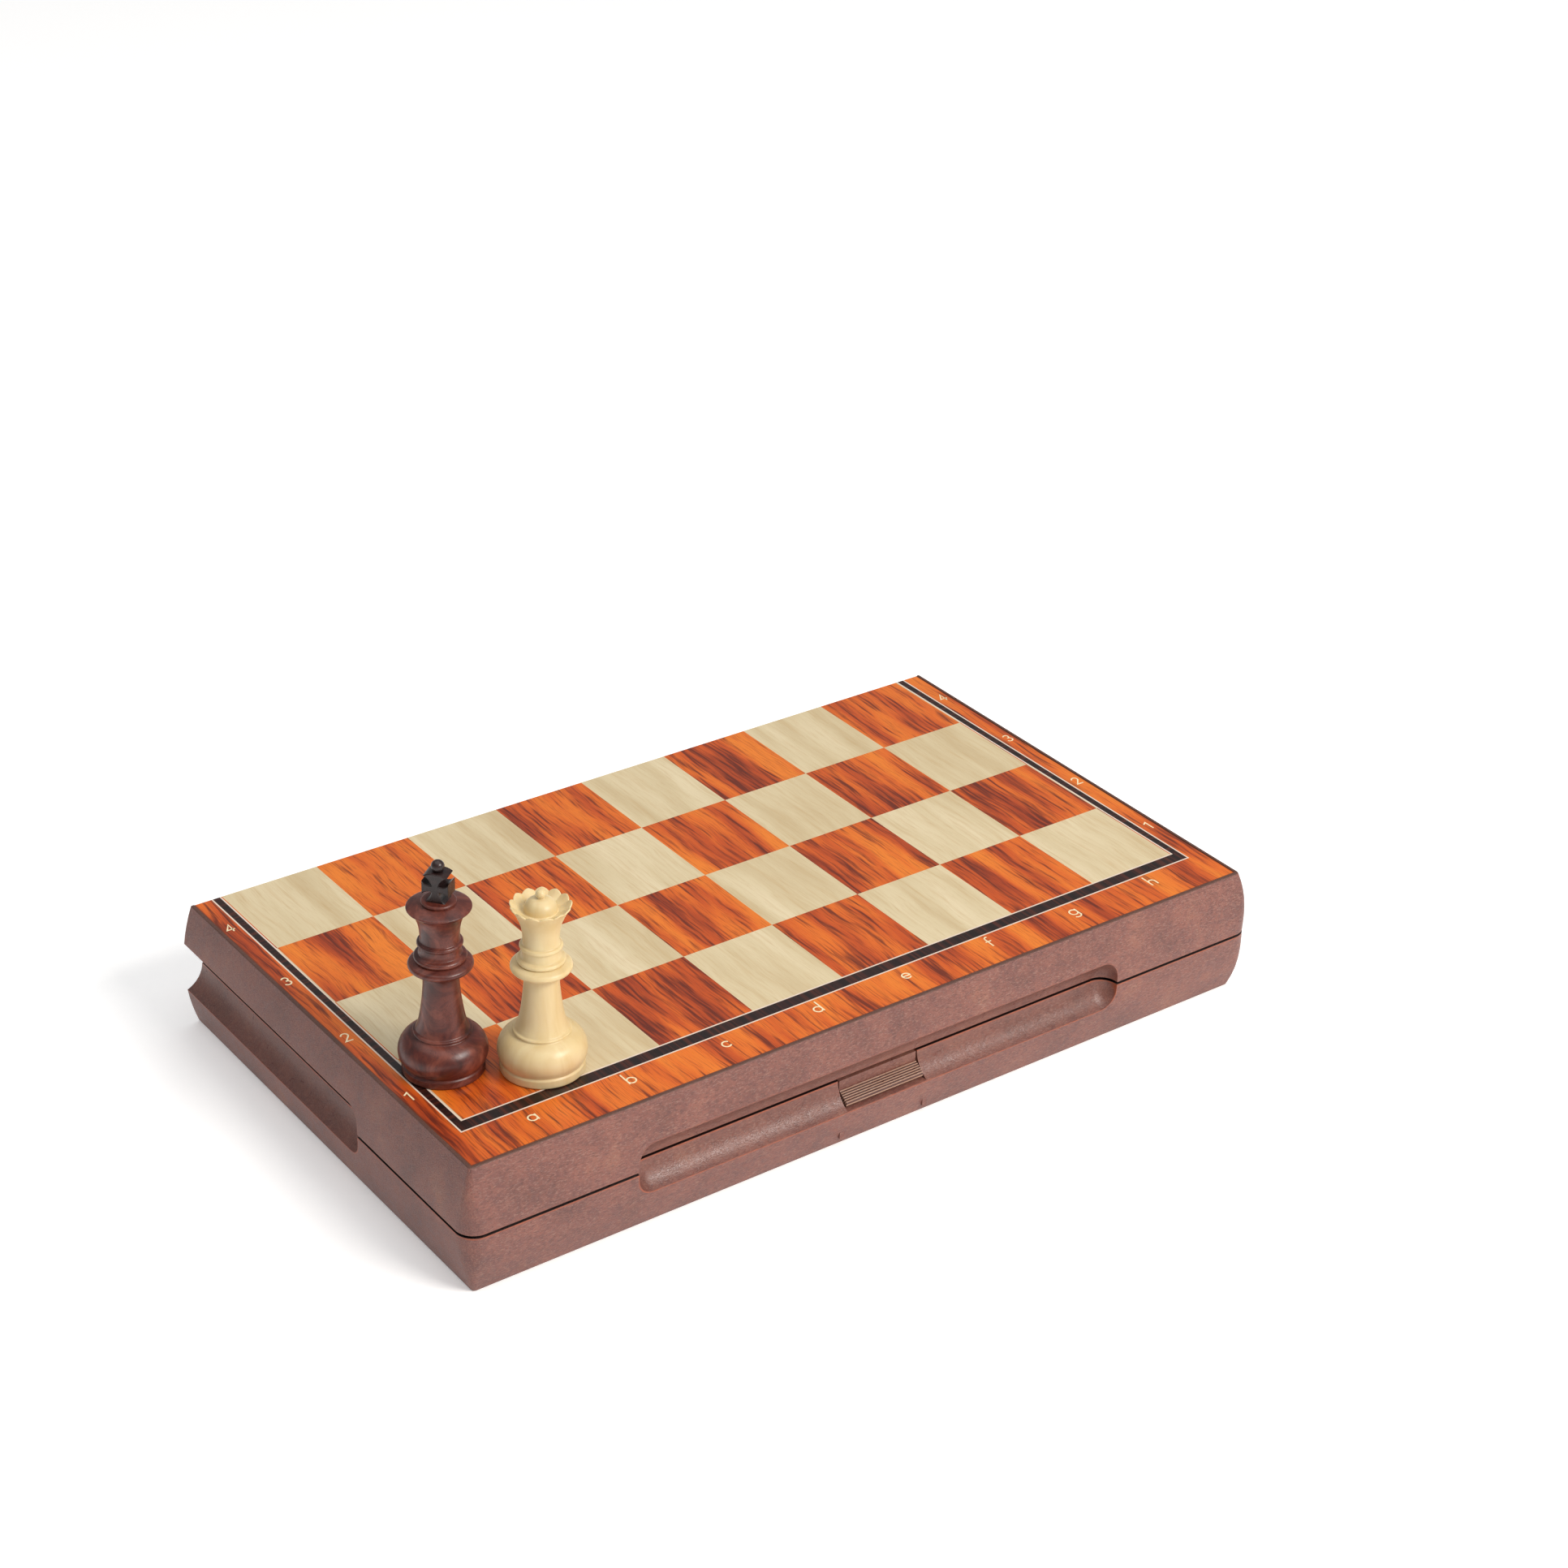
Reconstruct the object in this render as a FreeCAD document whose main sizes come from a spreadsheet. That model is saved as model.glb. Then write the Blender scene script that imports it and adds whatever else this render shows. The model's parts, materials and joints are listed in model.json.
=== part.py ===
import FreeCAD, Part
import math
import os
import Sketcher

# Folding magnetic chess set: two barrel-sided case halves hinged at the fold, a sprung latch in the
# front finger channel, formed trays with the men lying in them, and a king and a queen on the board.
# The origin is the middle of the underside, X runs along the files a to h, the latch faces -Y,
# the fold faces +Y and Z is up.  Both halves are made as the lower one; the upper is turned over.

DRIVING_SIZES = {
    "cell_width": 35.0,
    "cell_depth": 38.1,
    "side_border": 11.2,
    "front_border": 22.4,
    "case_thickness": 44.5,
    "side_bulge": 4.0,
    "parting_gap": 0.9,
    "fold_gap": 0.3,
    "wall": 2.2,
    "deck": 1.8,
    "edge_radius": 0.5,
    "corner_radius_board": 1.5,
    "corner_radius_parting": 6.5,
    "panel_thickness": 0.8,
    "panel_recess": 0.2,
    "panel_rim": 1.2,
    "panel_clearance": 0.1,
    "steel_thickness": 0.5,
    "steel_inset": 4.0,
    "channel_half_height": 9.1,
    "channel_depth": 6.5,
    "channel_wall": 2.0,
    "channel_end_radius": 6.0,
    "front_channel_length": 190.0,
    "side_channel_start": 64.0,
    "hinge_spacing": 210.0,
    "knuckle_radius": 3.0,
    "knuckle_length": 12.0,
    "knuckle_end_gap": 0.2,
    "knuckle_clearance": 0.4,
    "pin_radius": 1.0,
    "pin_clearance": 0.05,
    "latch_width": 30.6,
    "latch_side_gap": 0.5,
    "latch_plate": 1.8,
    "latch_visible_height": 3.6,
    "latch_reach": 4.1,
    "latch_tip_drop": 2.6,
    "latch_tip_thickness": 0.9,
    "latch_pivot_drop": 14.0,
    "latch_pivot_setback": 7.5,
    "latch_barrel_radius": 2.3,
    "latch_nose_height": 2.8,
    "latch_nose_rise": 1.6,
    "nose_clearance": 0.3,
    "keeper_depth": 0.9,
    "ear_thickness": 1.8,
    "spring_thickness": 0.3,
    "spring_width": 16.0,
    "spring_slope": 0.2932,
    "spring_foot": 3.5,
    "tray_clearance": 0.6,
    "tray_floor": 0.7,
    "tray_web": 1.3,
    "tray_top_gap": 0.3,
    "latch_room_side": 2.0,
    "latch_room_back": 6.5,
    "men_clearance": 0.5,
    "magnet_height": 2.4,
    "magnet_radius": 5.0,
    "felt_thickness": 0.6,
    "felt_margin": 1.6,
    "king_height": 72.5,
    "queen_height": 62.0,
    "bishop_height": 52.0,
    "knight_height": 44.0,
    "rook_height": 38.0,
    "pawn_height": 34.0,
    "king_file_offset": 9.35,
    "king_rank_offset": 26.7,
    "queen_file_offset": 34.5,
    "queen_rank_offset": 10.8,
}

doc = FreeCAD.newDocument("folding_chess_set")
sheet = doc.addObject("Spreadsheet::Sheet", "sizes")
for row, (alias, millimetres) in enumerate(DRIVING_SIZES.items(), start=1):
    sheet.set(f"A{row}", alias)
    sheet.set(f"B{row}", str(millimetres))
    sheet.setAlias(f"B{row}", alias)
doc.recompute()


class Size:
    """A length in millimetres together with the spreadsheet expression that gives it."""

    def __init__(self, value, text):
        self.value = float(value)
        self.text = text

    def __add__(self, other):
        other = as_size(other)
        return Size(self.value + other.value, f"({self.text} + {other.text})")

    def __sub__(self, other):
        other = as_size(other)
        return Size(self.value - other.value, f"({self.text} - {other.text})")

    def __mul__(self, other):
        other = as_size(other)
        return Size(self.value * other.value, f"({self.text} * {other.text})")

    def __truediv__(self, other):
        other = as_size(other)
        return Size(self.value / other.value, f"({self.text} / {other.text})")

    def __neg__(self):
        return Size(-self.value, f"(0 - {self.text})")

    __radd__ = __add__
    __rmul__ = __mul__


def as_size(number):
    if isinstance(number, Size):
        return number
    text = f"{abs(float(number)):.9g}"
    return Size(number, text if number >= 0 else f"(0 - {text})")


def cell(alias):
    """The driving dimension of this name."""
    return Size(float(sheet.get(alias)), f"sizes.{alias}")


def root_of(square):
    return Size(math.sqrt(square.value), f"sqrt({square.text})")


def bind(thing, **lengths):
    """Tie properties of an object to the spreadsheet."""
    for name, length in lengths.items():
        thing.setExpression(name, as_size(length).text)
    return thing


# ---------------------------------------------------------------- sizes that follow from the sheet

MID = cell("case_thickness") / 2                      # height of the parting plane and hinge axis
RIM_TOP = MID - cell("parting_gap") / 2               # parting face of the lower half
TOP_HALF_WIDTH = cell("cell_width") * 4 + cell("side_border")
BULGE_HALF_WIDTH = TOP_HALF_WIDTH + cell("side_bulge")
BOARD_DEPTH = cell("cell_depth") * 4 + cell("front_border")
DEPTH = BOARD_DEPTH + cell("side_bulge") + cell("fold_gap") / 2 + cell("knuckle_radius")
FRONT = -(DEPTH / 2)                                  # most forward line of the barrel face
FRONT_TOP = FRONT + cell("side_bulge")                # front edge of the playing surface
HINGE = DEPTH / 2 - cell("knuckle_radius")            # hinge axis
FOLD = HINGE - cell("fold_gap") / 2                   # fold face
PANEL_TOP = cell("panel_recess") + cell("panel_thickness")
STEEL_TOP = PANEL_TOP + cell("steel_thickness")
FLOOR = STEEL_TOP + cell("deck")                      # inner face of the case deck
CHANNEL_RADIUS = (cell("channel_half_height") * cell("channel_half_height")
                  + cell("channel_depth") * cell("channel_depth")) / (cell("channel_depth") * 2)
CHANNEL_OFFSET = CHANNEL_RADIUS - cell("channel_depth")   # channel axis outside the barrel face
BOSS_RADIUS = CHANNEL_RADIUS + cell("channel_wall")
BOSS_DEPTH = cell("channel_depth") + cell("channel_wall")
SIDE_CHANNEL_FRONT = FRONT + cell("side_channel_start")
OVERRUN = as_size(30.0)                               # how far cutting tools run past a face


# ---------------------------------------------------------------- drawing helpers

ZERO = as_size(0.0)
H_AXIS = -1
V_AXIS = -2
CENTRE = 3

PLANE_TURN = {
    "XY": FreeCAD.Rotation(),
    "XZ": FreeCAD.Rotation(FreeCAD.Vector(1, 0, 0), 90),
    "YZ": FreeCAD.Rotation(FreeCAD.Vector(1, 1, 1), 120),
}
AXIS_TURN = {
    "X": FreeCAD.Rotation(FreeCAD.Vector(0, 1, 0), 90),
    "Y": FreeCAD.Rotation(FreeCAD.Vector(1, 0, 0), -90),
    "Z": FreeCAD.Rotation(),
}


def draw_outline(sketch, corners):
    """Draw a closed outline, anticlockwise.  A corner is (x, y) where a straight line arrives, or
    (x, y, bow) where an arc arrives that bows outwards (inwards if negative) by that share of its chord.
    An arc that ends on the upright axis is centred on it, so that it turns into a ball."""
    corners = [tuple(as_size(number) for number in corner) for corner in corners]
    points = [FreeCAD.Vector(corner[0].value, corner[1].value, 0) for corner in corners]
    geometry = []
    ends = []
    radii = {}
    for index, corner in enumerate(corners):
        first = points[index - 1]
        last = points[index]
        if len(corner) == 2:
            geometry.append(Part.LineSegment(first, last))
            ends.append((1, 2))
            continue
        bow = corner[2]
        outwards = bow.value > 0
        depth = bow if outwards else -bow
        run = corner[0] - corners[index - 1][0]
        rise = corner[1] - corners[index - 1][1]
        radii[index] = root_of(run * run + rise * rise) * (depth * depth + 0.25) / (depth * 2)
        along = last - first
        aside = FreeCAD.Vector(along.y, -along.x, 0)
        sagitta = aside * bow.value
        to_centre = aside.normalize() * math.copysign(radii[index].value, bow.value)
        centre = (first + last) / 2 + sagitta - to_centre
        low, high = (first, last) if outwards else (last, first)
        angles = [math.atan2(point.y - centre.y, point.x - centre.x) for point in (low, high)]
        circle = Part.Circle(centre, FreeCAD.Vector(0, 0, 1), radii[index].value)
        geometry.append(Part.ArcOfCircle(circle, angles[0], angles[1]))
        ends.append((1, 2) if outwards else (2, 1))
    sketch.addGeometry(geometry, False)
    for index, (start, _) in enumerate(ends):
        sketch.addConstraint(Sketcher.Constraint("Coincident", index - 1 if index else len(ends) - 1,
                                                 ends[index - 1][1], index, start))
    for index, corner in enumerate(corners):
        hold(sketch, "DistanceX", index, ends[index][1], corner[0], V_AXIS)
        hold(sketch, "DistanceY", index, ends[index][1], corner[1], H_AXIS)
    for index, radius in radii.items():
        if corners[index][0].value == 0:
            sketch.addConstraint(Sketcher.Constraint("PointOnObject", index, CENTRE, V_AXIS))
        else:
            name_last(sketch, Sketcher.Constraint("Radius", index, radius.value), f"bend_{index}", radius)


def hold(sketch, kind, index, end, length, axis):
    """Hold a corner at its distance from the sketch origin, or on an axis of the sketch."""
    if length.value == 0:
        sketch.addConstraint(Sketcher.Constraint("PointOnObject", index, end, axis))
        return
    constraint = Sketcher.Constraint(kind, -1, 1, index, end, length.value)
    name_last(sketch, constraint, f"{kind[-1].lower()}_{index}", length)


def name_last(sketch, constraint, name, length):
    """Add a dimension to a sketch and tie it to the spreadsheet."""
    number = sketch.addConstraint(constraint)
    sketch.renameConstraint(number, name)
    sketch.setExpression(f"Constraints.{name}", length.text)


def moved(solid, corner):
    """Tie an object's place to the spreadsheet."""
    for axis, length in zip("xyz", corner):
        solid.setExpression(f"Placement.Base.{axis}", as_size(length).text)
    return solid


def extruded(name, plane, corners, length):
    """A closed outline on a plane through the origin, extruded both ways by half the length."""
    sketch = doc.addObject("Sketcher::SketchObject", name + "_outline")
    sketch.Placement = FreeCAD.Placement(FreeCAD.Vector(), PLANE_TURN[plane])
    draw_outline(sketch, corners)
    solid = doc.addObject("Part::Extrusion", name)
    solid.Base = sketch
    solid.DirMode = "Normal"
    solid.Solid = True
    solid.Symmetric = True
    return bind(solid, LengthFwd=length)


def box(name, low, high):
    """A box between two corners."""
    solid = doc.addObject("Part::Box", name)
    bind(solid, Length=high[0] - low[0], Width=high[1] - low[1], Height=high[2] - low[2])
    return moved(solid, low)


def rod(name, radius, length, start, axis="X"):
    """A cylinder that starts at a point and runs along +X, +Y or +Z."""
    solid = doc.addObject("Part::Cylinder", name)
    solid.Placement = FreeCAD.Placement(FreeCAD.Vector(), AXIS_TURN[axis])
    bind(solid, Radius=radius, Height=length)
    return moved(solid, start)


def joined(name, pieces):
    solid = doc.addObject("Part::MultiFuse", name)
    solid.Shapes = pieces
    solid.Refine = True
    return solid


def shared(name, pieces):
    solid = doc.addObject("Part::MultiCommon", name)
    solid.Shapes = pieces
    return solid


def cut(name, base, tools):
    """A solid less a list of tools."""
    solid = doc.addObject("Part::Cut", name)
    solid.Base = base
    solid.Tool = tools[0] if len(tools) == 1 else joined(name + "_tools", tools)
    solid.Refine = True
    return solid


def rounded(name, base, edges):
    """Fillet edges of a solid: a list of (edge number, radius at its start, radius at its end)."""
    solid = doc.addObject("Part::Fillet", name)
    solid.Base = base
    solid.Edges = edges
    return solid


nodes = {}


def keep(solid, label):
    """Register a finished piece as the node of this name."""
    solid.Label = label
    nodes[label] = solid
    return solid


def turned_over(solid):
    """Turn a piece of the lower half over about the Y axis, into the upper half."""
    solid.Placement = FreeCAD.Placement(FreeCAD.Vector(), UPPER_TURN)
    return moved(solid, (ZERO, ZERO, MID * 2))


UPPER_TURN = FreeCAD.Rotation(FreeCAD.Vector(0, 1, 0), 180)


# ---------------------------------------------------------------- case halves

def barrel_block(name, inset, floor):
    """Half of the case as a solid: flat board face, barrel front and sides, flat fold face."""
    bulge = cell("side_bulge")
    rise = RIM_TOP - floor
    lean = (root_of(rise * rise + bulge * bulge) - rise) / (bulge * 2)
    front = FRONT_TOP + inset
    half_width = TOP_HALF_WIDTH - inset
    back = FOLD - inset
    side_view = extruded(name + "_side_view", "YZ", [
        (back, floor),
        (back, RIM_TOP),
        (front - bulge, RIM_TOP),
        (front, floor, lean),
    ], BULGE_HALF_WIDTH * 2 + OVERRUN)
    front_view = extruded(name + "_front_view", "XZ", [
        (half_width, floor),
        (half_width + bulge, RIM_TOP, lean),
        (-(half_width + bulge), RIM_TOP),
        (-half_width, floor, lean),
    ], DEPTH * 2 + OVERRUN)
    return shared(name, [side_view, front_view])


def soften_case(name, block):
    """Round the two front corners, more at the parting plane than at the board, then the board's rim."""
    doc.recompute()
    corners = []
    for number, edge in enumerate(block.Shape.Edges, start=1):
        spread = edge.BoundBox
        if spread.ZLength > RIM_TOP.value * 0.9 and spread.YMax < FRONT_TOP.value + 1:
            rises = edge.Vertexes[0].Z < edge.Vertexes[-1].Z
            radii = [cell("corner_radius_board").value, cell("corner_radius_parting").value]
            corners.append((number, *(radii if rises else radii[::-1])))
    block = rounded(name + "_corners", block, corners)
    doc.recompute()
    rim = []
    radius = cell("edge_radius").value
    for number, edge in enumerate(block.Shape.Edges, start=1):
        spread = edge.BoundBox
        if spread.ZMax < 0.01 and spread.YMin < FOLD.value - 1:
            rim.append((number, radius, radius))
    return rounded(name + "_rim", block, rim)


def channel(name, radius, length, end_radius, place, along):
    """The finger channel as a round-ended bar along X or Y, centred on a point."""
    half = length / 2
    sketch = doc.addObject("Sketcher::SketchObject", name + "_outline")
    draw_outline(sketch, [
        (half, ZERO),
        (half, radius - end_radius),
        (half - end_radius, radius, QUARTER),
        (end_radius - half, radius),
        (-half, radius - end_radius, QUARTER),
        (-half, ZERO),
    ])
    bar = doc.addObject("Part::Revolution", name)
    bar.Source = sketch
    bar.Axis = FreeCAD.Vector(1, 0, 0)
    bar.Base = FreeCAD.Vector(0, 0, 0)
    bar.Angle = 360
    bar.Solid = True
    turn = FreeCAD.Rotation(FreeCAD.Vector(0, 0, 1), 90 if along == "Y" else 0)
    bar.Placement = FreeCAD.Placement(FreeCAD.Vector(), turn)
    return moved(bar, place)


QUARTER = (math.sqrt(2) - 1) / 2                      # bow of a quarter circle, as a share of its chord


def channels(name, grow):
    """The front channel and the two side channels, which run out at the fold; grow thickens them."""
    side_length = FOLD + OVERRUN - SIDE_CHANNEL_FRONT
    side_x = BULGE_HALF_WIDTH + CHANNEL_OFFSET
    side_y = SIDE_CHANNEL_FRONT + side_length / 2
    radius = CHANNEL_RADIUS + grow
    end_radius = cell("channel_end_radius") + grow
    bars = (
        ("front", cell("front_channel_length"), (ZERO, FRONT - CHANNEL_OFFSET, MID), "X"),
        ("left", side_length, (-side_x, side_y, MID), "Y"),
        ("right", side_length, (side_x, side_y, MID), "Y"),
    )
    return [channel(f"{name}_{side}", radius, length + grow * 2, end_radius, place, along)
            for side, length, place, along in bars]


def knuckle_spans(is_lower):
    """Start of each knuckle of one half, from the middle of its hinge."""
    length = cell("knuckle_length")
    if is_lower:
        return [-(length * 1.5 + cell("knuckle_end_gap")), length / 2 + cell("knuckle_end_gap")]
    return [-(length / 2)]


HINGE_PLACES = {"left": -(cell("hinge_spacing") / 2), "right": cell("hinge_spacing") / 2}
STATION_HALF = cell("knuckle_length") * 1.5 + cell("knuckle_end_gap")
BITE = 0.5                                            # how far added walls sink into the deck
POCKET_RADIUS = cell("knuckle_radius") + cell("knuckle_clearance")
HINGE_BOSS = POCKET_RADIUS + cell("wall")


def case_half(prefix, is_lower):
    """One moulded case half in the lower position."""
    outside = soften_case(prefix + "_outside", barrel_block(prefix + "_block", ZERO, ZERO))
    cavity = barrel_block(prefix + "_cavity", cell("wall"), FLOOR)
    shell = cut(prefix + "_shell", outside, [cavity])
    bosses = shared(prefix + "_bosses", [
        barrel_block(prefix + "_boss_block", cell("wall") / 2, FLOOR - BITE),
        joined(prefix + "_boss_bars", channels(prefix + "_boss", cell("channel_wall"))),
    ])
    solids = [shell, bosses]
    rebates = [
        box(prefix + "_panel_rebate",
            (-PANEL_HALF - cell("panel_clearance"), PANEL_FRONT - cell("panel_clearance"), -OVERRUN),
            (PANEL_HALF + cell("panel_clearance"), FOLD + OVERRUN, PANEL_TOP)),
        box(prefix + "_steel_rebate",
            (-STEEL_HALF, STEEL_FRONT, -OVERRUN), (STEEL_HALF, STEEL_BACK, STEEL_TOP)),
    ]
    pockets = []
    for side, middle in HINGE_PLACES.items():
        solids.append(box(f"{prefix}_{side}_hinge_boss",
                          (middle - STATION_HALF - cell("wall"), HINGE - HINGE_BOSS, FLOOR - BITE),
                          (middle + STATION_HALF + cell("wall"), FOLD, RIM_TOP)))
        pockets.append(rod(f"{prefix}_{side}_hinge_pocket", POCKET_RADIUS,
                           STATION_HALF * 2 + cell("knuckle_end_gap") * 2,
                           (middle - STATION_HALF - cell("knuckle_end_gap"), HINGE, MID)))
    if not is_lower:
        solids.append(keeper(prefix))
    hollows = rebates + pockets + channels(prefix + "_channel", ZERO)
    if is_lower:
        hollows.append(latch_notch())
    additions = [cut(prefix + "_recessed", joined(prefix + "_walls", solids), hollows)]
    bore_radius = cell("pin_radius") + (ZERO if is_lower else cell("pin_clearance"))
    bores = []
    for side, middle in HINGE_PLACES.items():
        for number, start in enumerate(knuckle_spans(is_lower)):
            low_x = middle + start
            high_x = low_x + cell("knuckle_length")
            name = f"{prefix}_{side}_knuckle_{number}"
            web_corner = (low_x, HINGE - cell("knuckle_radius"), MID - KNUCKLE_WEB)
            additions.append(rod(name, cell("knuckle_radius"), cell("knuckle_length"), (low_x, HINGE, MID)))
            additions.append(box(name + "_web", web_corner, (high_x, FOLD, MID)))
        bores.append(rod(f"{prefix}_{side}_bore", bore_radius, STATION_HALF * 2 + OVERRUN,
                         (middle - STATION_HALF - OVERRUN / 2, HINGE, MID)))
    if is_lower:
        additions += latch_ears()
        bores.append(rod("latch_pin_bore", cell("pin_radius"), LATCH_PIN_LENGTH,
                         (-(LATCH_PIN_LENGTH / 2), LATCH_PIVOT[0], LATCH_PIVOT[1])))
    return cut(prefix + "_case_solid", joined(prefix + "_with_knuckles", additions), bores)


KNUCKLE_WEB = cell("knuckle_radius") * 3
PANEL_HALF = TOP_HALF_WIDTH - cell("panel_rim")
PANEL_FRONT = FRONT_TOP + cell("panel_rim")
STEEL_HALF = PANEL_HALF - cell("steel_inset")
STEEL_FRONT = PANEL_FRONT + cell("steel_inset")
STEEL_BACK = FOLD - cell("steel_inset")


def layer(name, half_width, front, back, outer, inner, is_upper):
    """A flat sheet under one board face, between two depths from that half's outer face."""
    low, high = outer, inner
    if is_upper:
        low, high = cell("case_thickness") - inner, cell("case_thickness") - outer
    return box(name, (-half_width, front, low), (half_width, back, high))


def board_panel(name, is_upper):
    """Printed laminate that carries 32 squares, flush with the fold face."""
    return layer(name, PANEL_HALF, PANEL_FRONT, FOLD, cell("panel_recess"), PANEL_TOP, is_upper)


def steel_sheet(name, is_upper):
    """Thin steel under the laminate, which the magnets in the men hold to."""
    return layer(name, STEEL_HALF, STEEL_FRONT, STEEL_BACK, PANEL_TOP, STEEL_TOP, is_upper)


# ---------------------------------------------------------------- latch

LATCH_HALF = cell("latch_width") / 2
LATCH_PIVOT = (FRONT + cell("latch_pivot_setback"), MID - cell("latch_pivot_drop"))
EAR_GAP = cell("latch_side_gap") * 0.8
LATCH_PIN_LENGTH = (LATCH_HALF + EAR_GAP + cell("ear_thickness")) * 2
PLATE_FRONT = FRONT + cell("channel_depth") - 0.1     # visible plate, flush with the channel's deepest line
PLATE_TOP = RIM_TOP - 0.2
SLOPE_TOP = PLATE_TOP - cell("latch_visible_height")
TIP = (PLATE_FRONT - cell("latch_reach"), SLOPE_TOP - cell("latch_tip_drop"))
TIP_UNDER = TIP[1] - cell("latch_tip_thickness")
LEG_BACK = PLATE_FRONT + cell("latch_plate") + 0.4
KEEPER_TIP = FRONT + BOSS_DEPTH + cell("keeper_depth")
NOSE_FRONT = KEEPER_TIP + cell("nose_clearance")
STEM_FRONT = NOSE_FRONT + 0.5
STEM_BACK = STEM_FRONT + cell("latch_plate") * 0.9
NOSE_UNDER = MID + cell("latch_nose_height")
NOSE_TOP = NOSE_UNDER + cell("latch_nose_rise")
RIB_COUNT = 6
RIB_HEIGHT = 0.35
NOTCH_MARGIN = 1.0                                    # room round the latch in its gap
KEEPER_GAP = 0.4
KEEPER_HEIGHT = 1.2


def thumb_ribs():
    """Corners of the long ribs down the sloping thumb face, from the plate to the tip."""
    run = TIP[0] - PLATE_FRONT
    fall = TIP[1] - SLOPE_TOP
    length = root_of(run * run + fall * fall)
    lift = (fall / length * RIB_HEIGHT, -(run / length * RIB_HEIGHT))
    corners = [(PLATE_FRONT, SLOPE_TOP)]
    for rib in range(RIB_COUNT):
        for share, raised in ((0.10, False), (0.35, True), (0.65, True), (0.90, False)):
            place = (rib + share) / RIB_COUNT
            y = PLATE_FRONT + run * place
            z = SLOPE_TOP + fall * place
            corners.append((y + lift[0], z + lift[1]) if raised else (y, z))
    return corners + [TIP]


def latch():
    """Rocking latch: thumb tab in front, leg down to its pin, stem and nose up behind the upper wall."""
    leg_foot = LATCH_PIVOT[1] + cell("pin_radius")
    profile = extruded("latch_profile", "YZ", [
        (TIP[0], TIP_UNDER),
        (PLATE_FRONT, TIP_UNDER),
        (PLATE_FRONT, leg_foot),
        (LEG_BACK, leg_foot),
        (LEG_BACK, SLOPE_TOP - 0.6),
        (STEM_BACK, SLOPE_TOP + 0.9),
        (STEM_BACK, NOSE_TOP),
        (STEM_FRONT + 0.4, NOSE_TOP),
        (NOSE_FRONT, NOSE_TOP - 0.6),
        (NOSE_FRONT, NOSE_UNDER),
        (STEM_FRONT, NOSE_UNDER),
        (STEM_FRONT, PLATE_TOP),
        (PLATE_FRONT, PLATE_TOP),
    ] + thumb_ribs(), LATCH_HALF * 2)
    barrel = rod("latch_barrel", cell("latch_barrel_radius"), LATCH_HALF * 2, (-LATCH_HALF, *LATCH_PIVOT))
    bore = rod("latch_bore", cell("pin_radius") + cell("pin_clearance"), LATCH_HALF * 2 + OVERRUN,
               (-LATCH_HALF - OVERRUN / 2, *LATCH_PIVOT))
    return cut("latch_solid", joined("latch_blank", [profile, barrel]), [bore])


def latch_notch():
    """The gap in the lower channel wall that the latch stands in."""
    half = LATCH_HALF + cell("latch_side_gap")
    low = (-half, FRONT - OVERRUN, TIP_UNDER - NOTCH_MARGIN)
    return box("latch_notch", low, (half, FRONT + BOSS_DEPTH + NOTCH_MARGIN, MID))


def latch_ears():
    """Two lugs on the case floor that hold the latch pin."""
    ears = []
    inner = LATCH_HALF + EAR_GAP
    outer = inner + cell("ear_thickness")
    for side, low_x, high_x in (("left", -outer, -inner), ("right", inner, outer)):
        back = LATCH_PIVOT[0] + cell("latch_barrel_radius")
        top = LATCH_PIVOT[1] + cell("latch_barrel_radius") + KEEPER_GAP
        low = (low_x, FRONT + cell("wall"), FLOOR - BITE)
        ears.append(box(f"latch_ear_{side}", low, (high_x, back, top)))
    return ears


def keeper(prefix):
    """Ridge behind the upper channel wall that the latch's nose stands over."""
    half = LATCH_HALF * 0.8
    low = MID - NOSE_UNDER + MID + KEEPER_GAP
    front = KEEPER_TIP - cell("keeper_depth") - cell("channel_wall") / 2
    return box(prefix + "_keeper", (-half, front, low), (half, KEEPER_TIP, low + KEEPER_HEIGHT))


SPRING_CONTACT_GAP = 0.1


def latch_spring():
    """Leaf that stands on the case floor and leans on the back of the latch's leg."""
    thick = cell("spring_thickness")
    head_y = LEG_BACK + SPRING_CONTACT_GAP
    head_z = LATCH_PIVOT[1] + cell("latch_barrel_radius") * 2
    knee_y = head_y + (head_z - FLOOR) * cell("spring_slope")
    foot_y = knee_y + cell("spring_foot")
    return extruded("latch_spring_strip", "YZ", [
        (knee_y, FLOOR),
        (foot_y, FLOOR),
        (foot_y, FLOOR + thick),
        (knee_y + thick * 0.7, FLOOR + thick),
        (head_y + thick, head_z),
        (head_y, head_z),
    ], cell("spring_width"))


# ---------------------------------------------------------------- men

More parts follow.
